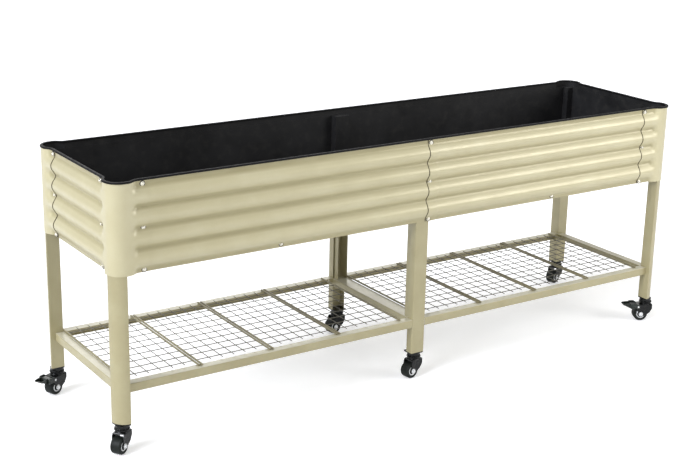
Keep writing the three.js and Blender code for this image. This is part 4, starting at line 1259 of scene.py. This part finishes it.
def add_caster(side, end):
    name = f"{side}_{end}"
    pivot = Vector(joint_of["swivel_turn_" + name]["pos_m"])
    axle = Vector(joint_of["wheel_spin_" + name]["axis"])
    heading = math.atan2(-axle.x, axle.y)
    braked = "brake_press_" + name in joint_of
    fixed = Matrix.Translation((pivot.x, pivot.y, 0))
    turning = fixed @ Matrix.Rotation(heading, 4, "Z")
    rolling = turning @ Matrix.Translation((TRAIL / 1000, 0, AXLE_HEIGHT / 1000))
    head = join([mounting_plate(side, end), head_rings(), kingpin()])
    fork = join([FORKS[braked], race_ring()])
    swivel, wheel, pedal = "swivel_" + name, "wheel_" + name, "pedal_" + name
    steel_slot = "black_steel"
    # Name, shape, material, body, nodes replaced, slot, smoothing angle and place of each piece
    pieces = [
        (f"caster_head_{name}_body", head, BLACK_STEEL, "planter", ["caster_head_" + name],
         steel_slot, 30, fixed),
        (f"caster_fork_{name}_body", fork, BLACK_STEEL, swivel, ["caster_fork_" + name],
         steel_slot, 30, turning),
        (f"caster_axle_{name}", axle_fittings(), ZINC, swivel, (), None, 30, turning),
        (f"caster_tyre_{name}", wheel_tyre(), TYRE, wheel, ["caster_wheel_" + name],
         "tyre", 30, rolling),
        (f"caster_web_{name}", wheel_web(), BLACK_STEEL, wheel, (), None, 30, rolling),
        (f"caster_ring_{name}", wheel_ring(), ZINC, wheel, (), None, 30, rolling),
    ]
    if braked:
        pieces += [
            (f"brake_pedal_{name}_plate", pedal_plate(), PEDAL_STEEL, pedal,
             ["brake_pedal_" + name], steel_slot, 30, turning),
            (f"brake_rivet_{name}", pedal_rivets(), ZINC, pedal, (), None, 40, turning),
            (f"brake_spring_{name}", spring_clip(), PEDAL_STEEL, swivel, (), None, 40, turning),
        ]
    for piece, shape, *rest in pieces:
        make(piece, *shape, *rest)


for side in ("front", "rear"):
    for end in ("left", "middle", "right"):
        add_caster(side, end)

# ---------------- screws

# Measured in the photo: levels below the rim, and distances from the bed's corners or seams
SCREW_DROPS = (11.2, 130, 247)
SIDE_SCREWS = (96, MIDDLE_SEAM + 9.5, BED_LENGTH - 117)
END_SCREWS = (93, BED_WIDTH - 94)
LOW_SCREWS = (MIDDLE / 2 + 11, MIDDLE * 1.5 + 4)
LOW_SCREW_RISE = 10
UPRIGHT_SCREW_RISES = (60, 250)


def on_wall(part, x, y, z, way_x, way_y):
    """A part turned about Z set on the wall, its axis pointing out of it."""
    out = Vector((way_x, way_y, 0))
    side = Vector((-way_y, way_x, 0))
    centre = Vector((x, y, z))
    return moved(part, lambda v: tuple(centre + side * v[0] + Vector((0, 0, v[1])) + out * v[2]))


def screw_head():
    flange = lathe([(TINY, 0.4), (6.2, 0.4), (6.2, 1), (5.6, 1.5), (4.3, 1.6), (TINY, 1.6)], 24)
    crown = lathe([(TINY, 1.5), (4.3, 1.5), (4.3, 3.4), (3.6, 4.1), (TINY, 4.3)], 6)
    return join([flange, crown])


def screw_washer():
    return lathe([(TINY, -0.8), (8.2, -0.8), (8.2, 0.3), (7.4, 0.8), (TINY, 0.8)], 24)


def valley_at(distance):
    return RIDGE_DEPTH * fade_at(distance)


front_spots = [
    (x, valley_at(min(x, BED_LENGTH - x)), RIM_HEIGHT - drop, 0, -1)
    for x in SIDE_SCREWS for drop in SCREW_DROPS
]
front_spots += [(x, RIDGE_DEPTH + LAP, BED_BOTTOM + LOW_SCREW_RISE, 0, -1) for x in LOW_SCREWS]
left_spots = [
    (valley_at(min(y, BED_WIDTH - y)), y, RIM_HEIGHT - drop, -1, 0)
    for y in END_SCREWS for drop in SCREW_DROPS
]
upright_spots = [
    (MIDDLE, UPRIGHT_FACE + LEG_WALL, SHELF_TOP + rise, 0, 1) for rise in UPRIGHT_SCREW_RISES
]
for name, opposite, spots, slot in (
    ("wall_screws_front", "wall_screws_rear", front_spots, "panel_paint"),
    ("wall_screws_left", "wall_screws_right", left_spots, "panel_paint"),
    ("frame_screws_front", "frame_screws_rear", upright_spots, "frame_paint"),
):
    for item, part, material, item_slot in (
        ("_heads", screw_head(), SCREW_PAINT, slot), ("_washers", screw_washer(), WASHER, None),
    ):
        group = join([on_wall(part, *spot) for spot in spots])
        make(name + item, *group, material, "planter", (), item_slot, 30)
        make(opposite + item, *moved(group, half_turn), material, "planter", (), item_slot, 30)
